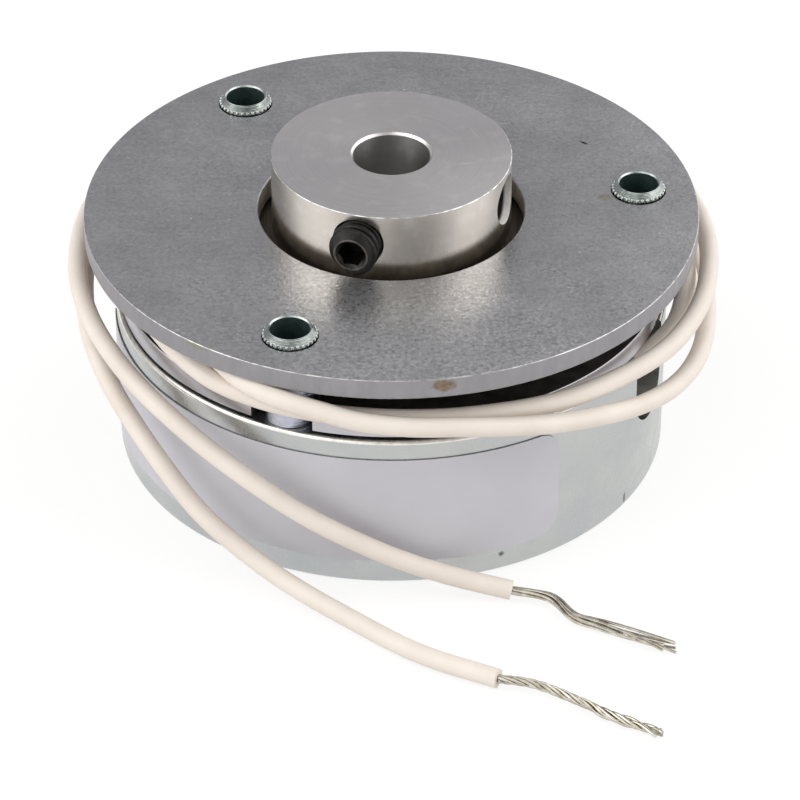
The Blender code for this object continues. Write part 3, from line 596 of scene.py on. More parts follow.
def knurled_ring():
    """Rounded beads in a ring about a place, as a coarse knurl leaves on a collar."""
    tree, sizes = new_growth("knurled_ring", {
        "Beads": "Int", "Radius": "Float", "Bead": "Float", "Place": "Vector"})
    ring = add_node(tree, "GeometryNodeMeshCircle", {
        "Vertices": sizes["Beads"], "Radius": sizes["Radius"]})
    bead = add_node(tree, "GeometryNodeMeshUVSphere", {
        "Segments": 12, "Rings": 8, "Radius": sizes["Bead"]}).outputs["Mesh"]
    beads = add_node(tree, "GeometryNodeInstanceOnPoints", {
        "Points": ring, "Instance": bead, "Scale": (1.0, 1.0, 1.25)})
    placed = add_node(tree, "GeometryNodeTransform", {0: beads, "Translation": sizes["Place"]})
    end_growth(tree, sizes, placed)
    return tree


def zinc_plated_small_parts(name, dark, light):
    """Barrel plated turned steel: bright zinc with a cast of one colour and close rings."""
    material, tree, shader, place = surface(name, 1.0, 0.16)
    fill(tree, shader, {"Base Color": patchy(tree, place, 0.9, dark, light)})
    rings = add_node(tree, "ShaderNodeMapping", {"Vector": place, "Scale": (0.2, 0.2, 11.0)})
    bumped(tree, shader, patchy(tree, rings, 1.0, 0.0, 1.0), 0.05)
    return material


plate_radius, plate_bottom, plate_top = extent("pressure_plate")
small_zinc = zinc_plated_small_parts("greenish_zinc_plated_steel", "#979f9c", "#c6cbc7")
# The standoff's body below the plate: a paler, bluish copy of the same zinc, a painted highlight
lit_bluish_zinc = zinc_plated_small_parts("painted_highlight_bluish_zinc", "#b2b5c6", "#c9cbd9")
# The inside: drilled and plated, painted dark with a green cast as the shade and dark reflection deep in
# the hole
shaded_bore_zinc = two_toned("painted_shade_zinc_bore", 0.8, 0.4, 0.7, "#465c5b", "#5d7170")
knurl_tree = knurled_ring()
for number, azimuth in enumerate(STANDOFF_AZIMUTHS, 1):
    node = f"standoff_{number}"
    _, neck_foot, lip_z = extent(node)
    collar_z = plate_top - COLLAR_DEPTH + PRESS_CLEARANCE
    foot_z = rim_z + PRESS_CLEARANCE
    groove = COLLAR / 2 - KNURL_DEPTH
    foot = plate_top + COLLAR_PROUD
    flare = [(groove, collar_z), (groove, foot, 0.04)]
    for step in range(FLARE_RINGS):
        inwards = (groove - LIP / 2) * (step + 0.5) / FLARE_RINGS
        ring_z = foot + (lip_z - LIP_THICKNESS - foot) * step / FLARE_RINGS
        flare += [(groove - inwards, ring_z),
                  (groove - inwards + RING_WIDTH, ring_z + RING_HEIGHT, 0.02)]
    standoff = turned(f"{node}_turned", [
        (STANDOFF_BORE / 2, neck_foot), (STANDOFF_NECK / 2, neck_foot, 0.1), (STANDOFF_NECK / 2, foot_z),
        (STANDOFF_BODY / 2, foot_z, 0.1), (STANDOFF_BODY / 2, collar_z, 0.03),
        *flare, (LIP / 2, lip_z - LIP_THICKNESS), (LIP / 2, lip_z, 0.03),
        (STANDOFF_BORE / 2 + LIP_CHAMFER, lip_z, 0.01), (STANDOFF_BORE / 2, lip_z - LIP_CHAMFER, 0.03)],
        96, moved(azimuth, STANDOFF_CIRCLE / 2))
    fitted(standoff, "magnet_assembly", "standoff", [node], small_zinc, shaded_bore_zinc, lit_bluish_zinc)
    axis = at_azimuth(azimuth, STANDOFF_CIRCLE / 2, 0) * MM
    # Bore faces take the painted shade, and faces below the plate the paler bluish copy, a painted
    # highlight
    for face in standoff.data.polygons:
        away = Vector((face.center.x - axis.x, face.center.y - axis.y)).length
        bored = away < (STANDOFF_BORE / 2 + 0.02) * MM and abs(face.normal.z) < 0.5
        face.material_index = 1 if bored else 2 * int(face.center.z < plate_bottom * MM)
    knurl = grown(f"{node}_knurl", knurl_tree, {
        "Beads": KNURL_BEADS, "Radius": (COLLAR / 2 - BEAD) * MM, "Bead": BEAD * MM,
        "Place": at_azimuth(azimuth, STANDOFF_CIRCLE / 2, foot - BEAD) * MM, "Material": small_zinc})
    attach(knurl, "magnet_assembly")


# Pressure plate
# A ring stamped from zinc plated steel sheet. Its top is dull and scuffed from handling, its edge
# shows the marks of the shear, and a spot of rust has come through on the front of the edge.

PLATE_HOLE = 22.0
RUBBED_HIGHLIGHT_WIDTH = 0.12


def scratches(tree, place, spacing, length, width):
    """Short scratches, one to a cell and each turned its own way: up to 1 on a scratch."""
    cells = add_node(tree, "ShaderNodeTexVoronoi", {"Vector": place, "Scale": 1 / spacing}).outputs
    away = add_node(tree, "ShaderNodeVectorMath", {0: place, 1: cells["Position"]}, operation="SUBTRACT")
    chance = add_node(tree, "ShaderNodeSeparateXYZ", {0: cells["Color"]}).outputs
    turn = add_node(tree, "ShaderNodeMath", {0: chance["X"], 1: math.pi}, operation="MULTIPLY")
    laid = add_node(tree, "ShaderNodeVectorRotate", {"Vector": away, "Angle": turn},
                    rotation_type="Z_AXIS")
    thin = add_node(tree, "ShaderNodeVectorMath", {0: laid, 1: (2 / length, 2 / width, 0)},
                    operation="MULTIPLY")
    reach = add_node(tree, "ShaderNodeVectorMath", {0: thin}, operation="LENGTH").outputs["Value"]
    inside = add_node(tree, "ShaderNodeMapRange", {"Value": reach, "From Min": 1.0, "From Max": 0.5})
    return add_node(tree, "ShaderNodeMath", {0: inside, 1: chance["Y"]}, operation="MULTIPLY")


def zinc_plated_sheet():
    """Plated sheet, handled: dull grey in soft clouds, grainy in front, with flecks and scratches."""
    material, tree, shader, place = surface("zinc_plated_sheet", 0.88, 0.34)
    tone = patchy(tree, place, 6.0, "#a2a2a5", "#b7b6b7", 5.0)
    tone = painted(tree, tone, patchy(tree, place, 2.2, -0.8, 1.0, 5.0), "#9c9d9c", 0.35)
    front_patch = spot(tree, place, (2.0, -18.0, plate_top), (18.0, 11.0, 4.0), ragged=0.9, grain=5.0)
    grain = add_node(tree, "ShaderNodeMath", {0: front_patch, 1: 0.5, 2: 0.3}, operation="MULTIPLY_ADD")
    # Darker and paler fine flecks, strongest in a patch in front of the hub
    tone = painted(tree, tone, patchy(tree, place, 0.45, -0.15, 0.5, 0.0), "#7b7b7d", grain)
    tone = painted(tree, tone, patchy(tree, place, 0.3, -0.35, 0.6, 2.0), "#dededd", grain)
    cells = add_node(tree, "ShaderNodeTexVoronoi", {"Vector": place, "Scale": 1 / 1.1}).outputs
    near = add_node(tree, "ShaderNodeMapRange", {
        "Value": cells["Distance"], "From Min": 0.13, "From Max": 0.06})
    chosen = add_node(tree, "ShaderNodeSeparateXYZ", {0: cells["Color"]}).outputs["X"]
    few = add_node(tree, "ShaderNodeMapRange", {"Value": chosen, "From Min": 0.7, "From Max": 1.0})
    flecks = add_node(tree, "ShaderNodeMath", {0: near, 1: few}, operation="MULTIPLY")
    tone = painted(tree, tone, flecks, "#e8e8e6", 0.8)
    drawn_out = add_node(tree, "ShaderNodeMapping", {"Vector": place, "Scale": (0.35, 1.6, 1.0)})
    tone = painted(tree, tone, patchy(tree, drawn_out, 1.0, -1.6, 1.0, 5.0), "#d6d6d7", 0.16)
    tone = painted(tree, tone, scratches(tree, place, 4.5, 2.2, 0.12), "#dededf", 0.4)
    stain = spot(tree, place, (17.7, 1.5, plate_top), (0.8, 0.6, 0.4), grain=0.3)
    tone = painted(tree, tone, stain, "#8a8048", 0.4)
    pip = spot(tree, place, (16.27, 10.1, plate_top), (0.5, 0.16, 0.3), turn=-35, grain=0.1)
    tone = painted(tree, tone, pip, "#2c2c30")
    fill(tree, shader, {"Base Color": tone, "Roughness": patchy(tree, place, 0.35, 0.25, 0.42, 1.0)})
    bumped(tree, shader, patchy(tree, place, 0.22, 0.0, 1.0), 0.04, 0.35)
    return material


def sheared_edge():
    """The stamped edge: plated over soft upright shear marks, a little violet, with the rust spot."""
    material, tree, shader, place = surface("sheared_edge", 1.0, 0.42)
    upright = add_node(tree, "ShaderNodeMapping", {"Vector": place, "Scale": (1.4, 1.4, 0.5)})
    tone = patchy(tree, upright, 1.0, "#929093", "#9b999c")
    rust_place = at_azimuth(-80.6, plate_radius, plate_top - 0.65)
    rust = spot(tree, place, rust_place, (1.05, 1.05, 0.65), grain=0.4)
    rusted = patchy(tree, place, 0.5, "#5f5040", "#85705a")
    tone = painted(tree, tone, rust, rusted)
    stain_place = at_azimuth(-127.5, plate_radius, plate_top - 0.2)
    stain = spot(tree, place, stain_place, (1.3, 1.3, 0.35), ragged=1.0)
    sound = add_node(tree, "ShaderNodeMath", {0: 1.0, 1: rust}, operation="SUBTRACT")
    fill(tree, shader, {"Base Color": painted(tree, tone, stain, "#8b8f70", 0.6), "Metallic": sound})
    bumped(tree, shader, patchy(tree, upright, 1.0, 0.0, 1.0), 0.02, 0.1)
    return material


plate = turned("pressure_plate_stamped", [
    (PLATE_HOLE / 2, plate_bottom, 0.08), (plate_radius, plate_bottom, 0.2),
    (plate_radius, plate_top, 0.08), (PLATE_HOLE / 2, plate_top, 0.2)], 256)
shoulder_z = plate_top - COLLAR_DEPTH
seats = [drilled("seat", [
    (STANDOFF_BODY / 2 + PRESS_CLEARANCE, plate_bottom - CUT_PAST, shoulder_z),
    (COLLAR / 2 + PRESS_CLEARANCE, shoulder_z, plate_top + CUT_PAST)], 72,
    moved(azimuth, STANDOFF_CIRCLE / 2)) for azimuth in STANDOFF_AZIMUTHS]
# The rim of the top, rubbed smooth and paler in places, the paler patches partly a painted highlight line
rubbed_rim_and_highlight = two_toned("rubbed_plate_edge_and_painted_highlight", 1.0, 0.28, 0.7, "#8d8c8e", "#d8d6d3", 5.0)
# The wall of the hole: torn by the punch, thinly plated and brown with friction dust
punched_wall = two_toned("punched_wall", 0.3, 0.6, 1.0, "#716b60", "#a29b8f")
fitted(carved(plate, seats), "magnet_assembly", "pressure_plate", ["pressure_plate"],
       zinc_plated_sheet(), sheared_edge(), rubbed_rim_and_highlight, punched_wall)
for face in plate.data.polygons:
    in_hole = from_axis(face) < PLATE_HOLE / 2 + 0.1
    face.material_index = (3 if in_hole else 1) if abs(face.normal.z) < 0.3 else 0
# The rim's edge takes the paler material: rubbing plus a painted highlight line
rubbed_highlight_edge(plate, 2, plate_radius, plate_top, RUBBED_HIGHLIGHT_WIDTH)


# Hub
# Turned from aluminium bar and left bare: a round top with the shaft's bore and two tapped radial
# holes, and a hexagon below that drives the friction disc. Its edges are broken with a fine chamfer.

HUB_BORE = 6.35
BORE_CHAMFER = 0.2
HUB_FLATS = 12.0
HUB_SHOULDER = 20.09
SCREW_HEIGHT = 24.23
SCREW_HOLE = 4.27
SET_SCREWS = {"set_screw_front": ("front_screw", -106.0), "set_screw_side": ("side_screw", -17.0)}


def turned_aluminium(name, dark, light, roughness, along, anisotropy, pitch=0.09):
    """Bare aluminium cut by a lathe tool: silvery and warm, with close rings that fan the light."""
    material, tree, shader, place = surface(name, 1.0, roughness)
    rings = lathe_rings(tree, place, pitch, along)
    tone = painted(tree, patchy(tree, place, 4.0, dark, light), rings, "#a5a2a0", 0.35)
    tone = painted(tree, tone, patchy(tree, place, 1.8, -1.4, 1.0, 5.0), "#faf7f4", 0.3)
    scratch = spot(tree, place, (5.9, -1.6, hub_top), (1.1, 0.07, 0.3), turn=10, grain=0.15)
    around = add_node(tree, "ShaderNodeTangent", direction_type="RADIAL", axis="Z")
    fill(tree, shader, {
        "Base Color": painted(tree, tone, scratch, "#f4f2ee", 0.8), "Anisotropic": anisotropy,
        "Anisotropic Rotation": 0.25, "Tangent": around})
    bumped(tree, shader, rings, 0.01, 0.3)
    return material


def tapped_wall():
    """The wall of a tapped hole: pale near its mouth, a painted highlight of the lit wall, and painted
    shade deeper in, where the thread lies in shadow.
    """
    material, tree, shader, place = surface("tapped_wall", 0.1, 0.5)
    _, radius = off_axis(tree, place)
    shaded_depth = add_node(tree, "ShaderNodeMapRange", {
        "Value": radius, "From Min": hub_radius - 0.5, "From Max": hub_radius - 0.7})
    tone = patchy(tree, place, 0.5, "#e3dfd8", "#f3efe9")
    # Painted dark deeper in, as the shade over the thread
    fill(tree, shader, {"Base Color": painted(tree, tone, shaded_depth, "#1d1a17")})
    return material


hub_radius, hub_foot, hub_top = extent("hub")
hub = turned("hub_turned", [
    (0, HUB_SHOULDER), (hub_radius, HUB_SHOULDER, 0.2), (hub_radius, hub_top, 0.08), (0, hub_top)])
hexagon_end = extruded("hexagon_end", hexagon(HUB_FLATS), hub_foot, HUB_SHOULDER + CUT_PAST)
mouth = HUB_BORE / 2 + BORE_CHAMFER
hub_cuts = [turned("bore", [
    (0, hub_foot - CUT_PAST), (mouth, hub_foot - CUT_PAST), (mouth, hub_foot),
    (HUB_BORE / 2, hub_foot + BORE_CHAMFER), (HUB_BORE / 2, hub_top - BORE_CHAMFER, 0.05),
    (mouth, hub_top, 0.05), (mouth, hub_top + CUT_PAST), (0, hub_top + CUT_PAST)], 96)]
hole = SCREW_HOLE / 2
for _, azimuth in SET_SCREWS.values():
    hub_cuts.append(drilled("tapped_hole", [(hole, 0, hub_radius + CUT_PAST)], 64,
                            moved(azimuth, 0, SCREW_HEIGHT, (90, "Y"))))
# The edge of the top, where the chamfer is nicked, with a painted highlight up to white along it
nicked_edge_and_highlight = two_toned("nicked_aluminium_edge_and_painted_highlight", 1.0, 0.28, 0.7, "#8a8784", "#ffffff", 5.0)
fitted(carved(hub, hub_cuts, [hexagon_end]), "shaft_hub", "hub", ["hub"],
       turned_aluminium("turned_aluminium", "#ded7cc", "#e4ddd3", 0.22, 12.0, 0.5),
       turned_aluminium("faced_aluminium", "#e4dfdf", "#e8e4e3", 0.3, 6.0, 0.6),
       turned_aluminium("bored_aluminium", "#b5b3b0", "#c0bebb", 0.36, 3.0, 0.8, 0.4), tapped_wall(),
       nicked_edge_and_highlight)
for face in hub.data.polygons:
    inside = from_axis(face) < HUB_BORE / 2 + 0.05
    face.material_index = 2 if inside else int(face.normal.z > 0.7)
    for _, azimuth in SET_SCREWS.values():
        offset = face.center / MM - at_azimuth(azimuth, 0, SCREW_HEIGHT)
        outwards = offset.dot(at_azimuth(azimuth, 1, 0))
        away = (offset - at_azimuth(azimuth, outwards, 0)).length
        in_wall = from_axis(face) < hub_radius - 0.1
        if in_wall and outwards > HUB_BORE / 2 and away < hole + 0.02:
            face.material_index = 3
# The top's edge takes the nicked material with its painted highlight
rubbed_highlight_edge(hub, 4, hub_radius, hub_top, RUBBED_HIGHLIGHT_WIDTH)


# Set screws
# Two socket set screws of heat treated steel with a black oxide skin. They clamp the hub to its
# shaft. The front one stands out of the hub by a few threads, and the side one is sunk in it.

SCREW_LENGTH = 4.76
SCREW_DIAMETER = 4.17
SCREW_PITCH = 0.794
SCREW_SOCKET = 1.98
SCREW_SOCKET_DEPTH = 2.2
THREAD_DEPTH = 0.34
THREAD_RIDGE = 0.36
FIRST_THREAD = 0.75
RUN_OUT = 0.15
PLAIN_ENDS = 0.8
CUP_RADIUS = 1.0
CUP_DEPTH = 0.5
CUP_CHAMFER = 0.3
FACE_RADIUS = 1.42
MOUTH_RADIUS = 1.3
MOUTH_ROOT = 1.0
MOUTH_DEPTH = 0.3


def screw_thread():
    """A thread's ridge: an upright helix with a sharp section."""
    tree, sizes = new_growth("screw_thread", {
        "Turns": "Float", "Radius": "Float", "Length": "Float", "Ridge": "Float"})
    helix = add_node(tree, "GeometryNodeCurveSpiral", {
        "Resolution": 40, "Rotations": sizes["Turns"], "Start Radius": sizes["Radius"],
        "End Radius": sizes["Radius"], "Height": sizes["Length"]})
    end_growth(tree, sizes, swept(tree, helix, 4, sizes["Ridge"]))
    return tree


# Black oxide over alloy steel: near black with a dull sheen
black_oxide = two_toned("black_oxide_steel", 0.6, 0.34, 0.5, "#0c0b0a", "#26211e")
# The ring of the face, where the oxide is worn and browner
worn_black_oxide = two_toned("worn_black_oxide_steel", 0.6, 0.34, 0.5, "#3f3a36", "#6d6762")
thread_tree = screw_thread()
for node, (body, azimuth) in SET_SCREWS.items():
    low_corner, high_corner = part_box(node)
    centre = (low_corner + high_corner) / 2 / MM
    face = Vector((centre.x, centre.y)).length + SCREW_LENGTH / 2
    root = SCREW_DIAMETER / 2 - THREAD_DEPTH
    axis = moved(azimuth, face, SCREW_HEIGHT, (90, "Y"))
    screw = turned(f"{node}_blank", [
        (0, CUP_DEPTH - SCREW_LENGTH), (CUP_RADIUS, -SCREW_LENGTH, 0.05),
        (root, CUP_CHAMFER - SCREW_LENGTH, 0.1), (root, -FIRST_THREAD - RUN_OUT),
        (SCREW_DIAMETER / 2 - 0.05, -FIRST_THREAD, 0.06), (FACE_RADIUS, 0, 0.08),
        (MOUTH_RADIUS, 0, 0.03), (MOUTH_ROOT, -MOUTH_DEPTH), (0, -MOUTH_DEPTH)], 64, axis)
    socket = extruded("socket", hexagon(SCREW_SOCKET), -SCREW_SOCKET_DEPTH, CUT_PAST,
                      axis @ Matrix.Rotation(math.radians(30), 4, "Z"))
    fitted(carved(screw, [socket]), body, "set_screw", [node], black_oxide, worn_black_oxide)
    outwards = at_azimuth(azimuth, 1, 0)
    for side in screw.data.polygons:
        at_face = side.center.dot(outwards) > (face - 0.05) * MM
        side.material_index = int(at_face and side.normal.dot(outwards) > 0.6)
    threaded = SCREW_LENGTH - PLAIN_ENDS
    thread = grown(f"{node}_thread", thread_tree, {
        "Turns": threaded / SCREW_PITCH, "Radius": (SCREW_DIAMETER / 2 - THREAD_RIDGE) * MM,
        "Length": threaded * MM, "Ridge": THREAD_RIDGE * MM, "Material": black_oxide})
    thread.data.transform(axis @ Matrix.Translation((0, 0, (PLAIN_ENDS / 2 - SCREW_LENGTH) * MM)))
    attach(thread, body)


# Rating label
# Silver polyester film, die cut with round corners and stuck round the magnet body's front left.
# It is bare here: only the cut edge shows, as a thin dark line.

LABEL_CORNER = 2.0
LABEL_START = -180.5
LABEL_END = -54.0
ADHESIVE = 0.02
FILM = 0.1

_, label_bottom, label_top = extent("rating_label")
label_inner = body_radius + ADHESIVE
label_outer = label_inner + FILM
label_width = math.radians(LABEL_END - LABEL_START) * label_inner
corner_steps = 12
plain_steps = 120
plain_width = label_width - 2 * LABEL_CORNER
columns = [LABEL_CORNER * (1 - math.cos(math.pi / 2 * k / corner_steps)) for k in range(corner_steps)]
columns += [LABEL_CORNER + plain_width * k / plain_steps for k in range(plain_steps)]
columns += [label_width - across for across in reversed(columns[:corner_steps + 1])]
shape = bmesh.new()
rings = []
for across in columns:
    inset = max(LABEL_CORNER - across, LABEL_CORNER - (label_width - across), 0)
    drop = LABEL_CORNER - math.sqrt(max(LABEL_CORNER ** 2 - inset ** 2, 0))
    azimuth = LABEL_START + math.degrees(across / label_inner)
    foot = label_bottom + drop
    head = label_top - drop
    rings.append([shape.verts.new(at_azimuth(azimuth, *corner) * MM) for corner in (
        (label_inner, foot), (label_outer, foot), (label_outer, head), (label_inner, head))])
for ring, following in zip(rings, rings[1:]):
    for k in range(4):
        face = shape.faces.new((ring[k], ring[k - 1], following[k - 1], following[k]))
        face.material_index = int(k != 2)
for end in (rings[0], rings[-1]):
    shape.faces.new(end).material_index = 1
label = solid_piece("rating_label_film", shape)
sides = [face.material_index for face in label.data.polygons]
# Metallised film with a satin top coat: smooth, pale and slightly violet
silver_film = two_toned("silver_film", 0.15, 0.48, 9.0, "#bab9bf", "#c3c2c8")
# Its cut edge, a darker grey than the film's face
film_edge = two_toned("film_edge", 0.0, 0.6, 0.8, "#77787c", "#94959a")
fitted(label, "magnet_assembly", "rating_label", ["rating_label"], silver_film, film_edge)
label.data.polygons.foreach_set("material_index", sides)


# Leads
# Two stranded wires in cream insulation. They come out of the coil through the lead slot, go
# nearly twice round the brake under the plate and end stripped on the ground in front of it.

LEAD_DIAMETER = 1.6
LEAD_SAMPLES = 420
STRANDS = 7
STRAND_DIAMETER = 0.25
STRIP_GAP = 0.03
STRAND_SAMPLES = 60
# Azimuth, radius and height of each lead's way, and x, y and height of each stripped end's
LEAD_A_ROUTE = [
    (-28.5, 17.35, 11.9), (-26.3, 20.0, 12.25), (-22.5, 22.5, 13.0), (-17, 24.25, 14.5),
    (-10, 24.6, 15.9), (0, 24.45, 17.2), (12, 24.35, 17.9), (30, 24.2, 18.1), (52, 24.15, 18.2),
    (75, 24.1, 18.2), (98, 24.1, 18.2), (120, 24.05, 18.2), (138, 24.0, 18.35), (155, 23.9, 18.5),
    (175, 23.5, 18.7), (192, 23.1, 18.8), (205, 23.05, 18.8), (215, 23.2, 18.6), (224, 23.65, 18.15),
    (233, 23.88, 17.5), (241, 23.86, 17.25), (250, 23.86, 17.15), (262, 23.8, 17.0),
    (275, 23.75, 16.8), (287, 23.8, 16.55), (303, 24.3, 16.2),
    (317, 25.0, 16.25), (330, 25.85, 16.35), (343, 26.3, 16.7), (355, 26.4, 17.15), (368, 26.4, 17.6),
    (385, 26.35, 17.85), (405, 26.3, 18.0), (430, 26.2, 17.95), (455, 26.1, 17.9), (480, 26.1, 17.9),
    (505, 26.1, 17.8), (525, 26.1, 17.65), (545, 26.1, 17.3),
    (558, 26.1, 16.5), (570, 26.0, 15.5), (580, 25.8, 14.3), (593, 25.5, 12.2),
    (602.5, 25.3, 10.3), (613, 25.0, 7.8), (622.5, 24.8, 5.7), (631.7, 24.7, 3.7),
    (641, 25.0, 2.0), (651.2, 26.8, 0.87),
]
LEAD_B_ROUTE = [
    (-22, 17.35, 10.8), (-21.3, 20.0, 11.1), (-18.6, 22.4, 11.7), (-13.6, 24.2, 12.7),
    (-5.5, 24.85, 13.8), (4.5, 24.75, 14.8), (18, 24.4, 15.6), (35, 24.25, 16.1), (57, 24.2, 16.35),
    (80, 24.15, 16.45), (103, 24.1, 16.5), (124, 24.05, 16.55), (138, 23.95, 16.65), (150, 22.9, 16.85),
    (162, 21.9, 17.3), (175, 21.3, 18.1), (188, 21.1, 18.75), (200, 21.2, 18.97), (210, 21.4, 19.02),
    (220, 21.85, 19.02), (228, 22.4, 19.03), (235, 23.4, 19.03), (241, 24.5, 19.0), (247, 25.25, 18.97),
    (253, 25.55, 18.75), (258, 25.5, 18.35), (264, 25.45, 17.75), (273, 25.5, 17.3),
    (282, 25.6, 17.0), (292, 25.8, 16.3), (302, 26.05, 15.4),
    (320, 26.3, 13.5), (334, 26.4, 12.3), (347, 26.45, 11.95), (362, 26.4, 12.6),
    (378, 26.3, 13.7), (392, 26.25, 14.7), (410, 26.2, 15.5), (435, 26.15, 15.85), (460, 26.1, 15.95),
    (485, 26.1, 15.95), (505, 26.0, 15.85), (525, 25.8, 15.6), (542, 25.6, 15.0), (556, 25.8, 13.8),
    (568, 26.0, 12.3), (575.6, 26.0, 10.8), (585.2, 26.0, 8.3), (593.5, 26.0, 5.7), (602, 26.0, 3.6),
    (611, 26.4, 1.8), (623.5, 29.0, 0.92), (634, 33.4, 0.87), (643, 37.4, 0.86),
]
STRANDS_A_ROUTE = [(12.9, -25.8, 0.7), (14.8, -28.3, 0.6), (16.9, -29.3, 0.5), (22.2, -32.3, 0.45)]
STRANDS_B_ROUTE = [(11.2, -36.9, 0.7), (15.1, -39.2, 0.6), (17.1, -40.6, 0.5), (20.9, -42.7, 0.45)]


def smooth_path(points, count, fineness=24):
    """Points at equal steps along a smooth curve through the given points, and the curve's length."""
    guide = [2 * points[0] - points[1]] + points + [2 * points[-1] - points[-2]]
    fine = []
    for a, b, c, d in zip(guide, guide[1:], guide[2:], guide[3:]):
        t1 = math.sqrt((b - a).length)
        t2 = t1 + math.sqrt((c - b).length)
        t3 = t2 + math.sqrt((d - c).length)
        for k in range(fineness):
            t = t1 + (t2 - t1) * k / fineness
            ab = a.lerp(b, t / t1)
            bc = b.lerp(c, (t - t1) / (t2 - t1))
            cd = c.lerp(d, (t - t2) / (t3 - t2))
            fine.append(ab.lerp(bc, t / t2).lerp(bc.lerp(cd, (t - t1) / (t3 - t1)), (t - t1) / (t2 - t1)))
    fine.append(points[-1])
    reached = [0.0]
    for here, there in zip(fine, fine[1:]):
        reached.append(reached[-1] + (there - here).length)
    path = []
    index = 0
    for k in range(count):
        wanted = reached[-1] * k / (count - 1)
        while index < len(fine) - 2 and reached[index + 1] < wanted:
            index += 1
        share = (wanted - reached[index]) / (reached[index + 1] - reached[index])
        path.append(fine[index].lerp(fine[index + 1], share))
    return path, reached[-1]


def bare_strands():
    """Thin wires laid round a middle one along a guide, twisted, and spread towards their ends."""
    tree, sizes = new_growth("bare_strands", {
        "Strands": "Int", "Strand": "Float", "Turns": "Float", "Spread": "Float", "Stray": "Float",
        "Seed": "Int"})
    line = add_node(tree, "GeometryNodeMeshToCurve", {0: sizes["Geometry"]})
    even = add_node(tree, "GeometryNodeResampleCurve", {"Curve": line, "Count": 90})
    copies = add_node(tree, "GeometryNodeDuplicateElements", {
        "Geometry": even, "Amount": sizes["Strands"]}, domain="SPLINE")
    number = copies.outputs["Duplicate Index"]
    along = add_node(tree, "GeometryNodeSplineParameter").outputs["Factor"]
    outer = add_node(tree, "ShaderNodeMath", {0: sizes["Strands"], 1: 1.0}, operation="SUBTRACT")
    share = add_node(tree, "ShaderNodeMath", {0: number, 1: outer}, operation="DIVIDE")
    twist = add_node(tree, "ShaderNodeMath", {0: along, 1: sizes["Turns"], 2: share},
                     operation="MULTIPLY_ADD")
    angle = add_node(tree, "ShaderNodeMath", {0: twist, 1: 2 * math.pi}, operation="MULTIPLY")
    normal = add_node(tree, "GeometryNodeInputNormal")
    tangent = add_node(tree, "GeometryNodeInputTangent")
    around = add_node(tree, "ShaderNodeVectorRotate", {"Vector": normal, "Axis": tangent, "Angle": angle})
    ring = add_node(tree, "ShaderNodeMath", {0: number, 1: 1.0}, operation="MINIMUM")
    pack = add_node(tree, "ShaderNodeMath", {0: ring, 1: sizes["Strand"]}, operation="MULTIPLY")
    opened = add_node(tree, "ShaderNodeMath", {0: along, 1: sizes["Spread"], 2: 1.0},
                      operation="MULTIPLY_ADD")
    reach = add_node(tree, "ShaderNodeMath", {0: pack, 1: opened}, operation="MULTIPLY")
    lay = add_node(tree, "ShaderNodeVectorMath", {0: around, 3: reach}, operation="SCALE")
    wild = add_node(tree, "FunctionNodeRandomValue", {
        "ID": number, "Seed": sizes["Seed"], 0: (-1.0, -1.0, 0.0), 1: (1.0, 1.0, 0.6)},
        data_type="FLOAT_VECTOR")
    late = add_node(tree, "ShaderNodeMath", {0: along, 1: 3.0}, operation="POWER")
    amount = add_node(tree, "ShaderNodeMath", {0: late, 1: sizes["Stray"]}, operation="MULTIPLY")
    stray = add_node(tree, "ShaderNodeVectorMath", {0: wild, 3: amount}, operation="SCALE")
    offset = add_node(tree, "ShaderNodeVectorMath", {0: lay, 1: stray}, operation="ADD")
    laid = add_node(tree, "GeometryNodeSetPosition", {0: copies, "Offset": offset})
    half = add_node(tree, "ShaderNodeMath", {0: sizes["Strand"], 1: 0.5}, operation="MULTIPLY")
    end_growth(tree, sizes, swept(tree, laid, 8, half))
    return tree


# Extruded cross-linked insulation: smooth, cream and satin
cream = two_toned("cream_insulation", 0.0, 0.45, 4.0, "#dbd0c5", "#e2d9cf")
# Tinned copper: bright and a little yellow, smeared along the wire
tin = two_toned("tinned_strands", 1.0, 0.24, 0.8, "#a39c8c", "#d6d2c8")
strand_tree = bare_strands()
LEADS = {
    "a": (LEAD_A_ROUTE, STRANDS_A_ROUTE, {"Turns": 0.5, "Spread": 0.9, "Stray": 0.9 * MM, "Seed": 4}),
    "b": (LEAD_B_ROUTE, STRANDS_B_ROUTE, {"Turns": 2.5, "Spread": 0.15, "Stray": 0.35 * MM, "Seed": 9}),
}
for letter, (route, bare_route, lay) in LEADS.items():
    path, length = smooth_path([at_azimuth(*point) * MM for point in route], LEAD_SAMPLES)
    curve = bpy.data.curves.new(f"lead_{letter}_insulation", "CURVE")
    curve.dimensions = "3D"
    curve.bevel_depth = LEAD_DIAMETER / 2 * MM
    curve.bevel_resolution = 6
    curve.use_fill_caps = True
    spline = curve.splines.new("POLY")
    spline.points.add(len(path) - 1)
    for point, place in zip(spline.points, path):
        point.co = (*place, 1.0)
    spline.use_smooth = True
    curve.materials.append(cream)
    lead = new_piece(f"lead_{letter}_insulation", curve)
    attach(lead, "magnet_assembly")
    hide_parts(f"lead_{letter}")

    start = path[-1] + (path[-1] - path[-2]).normalized() * STRIP_GAP * MM
    bare_path, _ = smooth_path([start] + [Vector(place) * MM for place in bare_route],
                               STRAND_SAMPLES)
    guide = bpy.data.meshes.new(f"conductor_{letter}_guide")
    guide.from_pydata(bare_path, [(k, k + 1) for k in range(len(bare_path) - 1)], [])
    strands = grown(f"conductor_{letter}_strands", strand_tree, {
        **lay, "Strands": STRANDS, "Strand": STRAND_DIAMETER * MM, "Material": tin}, guide)
    fitted(strands, "magnet_assembly", "conductor", [f"conductor_{letter}"], tin)


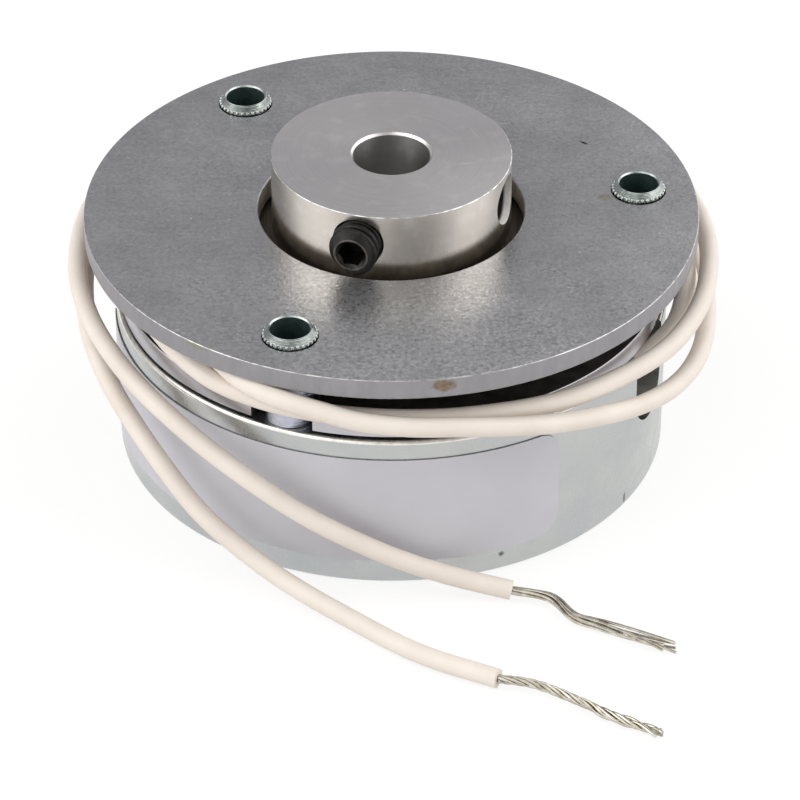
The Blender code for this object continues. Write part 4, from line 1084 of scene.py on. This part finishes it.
# Studio
# A pale table under soft light. The table keeps the brake's shadow and turns white for the camera,
# and the lamps and the sky together give about the light at which a colour looks as written. The
# room is pale in front, grey behind the table, and dim where the viewer stands.

CAMERA_PLACE = (0.0, -308.4, 216.86)
CAMERA_AIM = (0.7, -17.0, 14.0)
CAMERA_ROLL = 0.13
CAMERA_LENS = 198.5
TABLE_SIZE = 4.0
VIEWER_AZIMUTH = -70.0

table_mesh = bpy.data.meshes.new("table")
half = TABLE_SIZE / 2
table_mesh.from_pydata([(-half, -half, 0), (half, -half, 0), (half, half, 0), (-half, half, 0)], [],
                       [(0, 1, 2, 3)])
table = new_piece("table", table_mesh)
# White laminate, matt, so that it takes a soft shadow
material, tree, shader, _ = surface("white_table", 0.0, 0.9)
fill(tree, shader, {"Base Color": "#dedcda", "Specular IOR Level": 0.1})
rays = add_node(tree, "ShaderNodeLightPath").outputs
seen = add_node(tree, "ShaderNodeMath", {0: rays["Is Camera Ray"], 1: rays["Is Glossy Ray"]},
                operation="MAXIMUM")
glow = add_node(tree, "ShaderNodeEmission", {"Color": "#ffffff", "Strength": 1.12})
share = add_node(tree, "ShaderNodeMath", {0: seen, 1: 0.72}, operation="MULTIPLY")
lit = add_node(tree, "ShaderNodeMixShader", {0: share, 1: shader.outputs[0], 2: glow})
fill(tree, tree.nodes["Material Output"], {"Surface": lit})
table_mesh.materials.append(material)

world = bpy.data.worlds.new("studio")
world.use_nodes = True
bpy.context.scene.world = world
tree = world.node_tree
direction = add_node(tree, "ShaderNodeTexCoord").outputs["Generated"]
level = add_node(tree, "ShaderNodeVectorMath", {0: direction, 1: (1, 1, 0)}, operation="MULTIPLY")
heading = add_node(tree, "ShaderNodeVectorMath", {0: level}, operation="NORMALIZE")
onto = add_node(tree, "ShaderNodeVectorMath", {0: heading, 1: at_azimuth(VIEWER_AZIMUTH, 1, 0)},
                operation="DOT_PRODUCT").outputs["Value"]
near_viewer = add_node(tree, "ShaderNodeMapRange", {"Value": onto, "From Min": 0.8, "From Max": 0.97})
front = painted(tree, "#ffffff", near_viewer, "#a0a0a0")
far = add_node(tree, "ShaderNodeMapRange", {"Value": onto, "From Min": -0.6, "From Max": -0.85})
sky = painted(tree, front, far, "#8f8f92")
fill(tree, tree.nodes["Background"], {"Color": sky, "Strength": 1.5})

# Name, place, size across and watts of each soft lamp, in metres
LAMPS = [
    ("left_softbox", (-0.76, -0.2, 0.5), 0.8, 1.8),
    ("right_softbox", (0.78, -0.08, 0.42), 0.7, 1.3),
]
for name, place, across, watts in LAMPS:
    data = bpy.data.lights.new(name, "AREA")
    data.shape = "DISK"
    data.size = across
    data.energy = watts
    lamp = new_piece(name, data)
    lamp.location = place
    lamp.rotation_euler = (-Vector(place)).to_track_quat("-Z", "Y").to_euler()

camera = bpy.data.cameras.new("camera")
camera.lens = CAMERA_LENS
camera.clip_start = 0.01
viewer = new_piece("camera", camera)
viewer.location = Vector(CAMERA_PLACE) * MM
line = (Vector(CAMERA_AIM) - Vector(CAMERA_PLACE)).to_track_quat("-Z", "Y")
viewer.rotation_euler = (line.to_matrix() @ Matrix.Rotation(math.radians(CAMERA_ROLL), 3, "Z")).to_euler()
bpy.context.scene.camera = viewer
bpy.context.scene.view_settings.view_transform = "Standard"
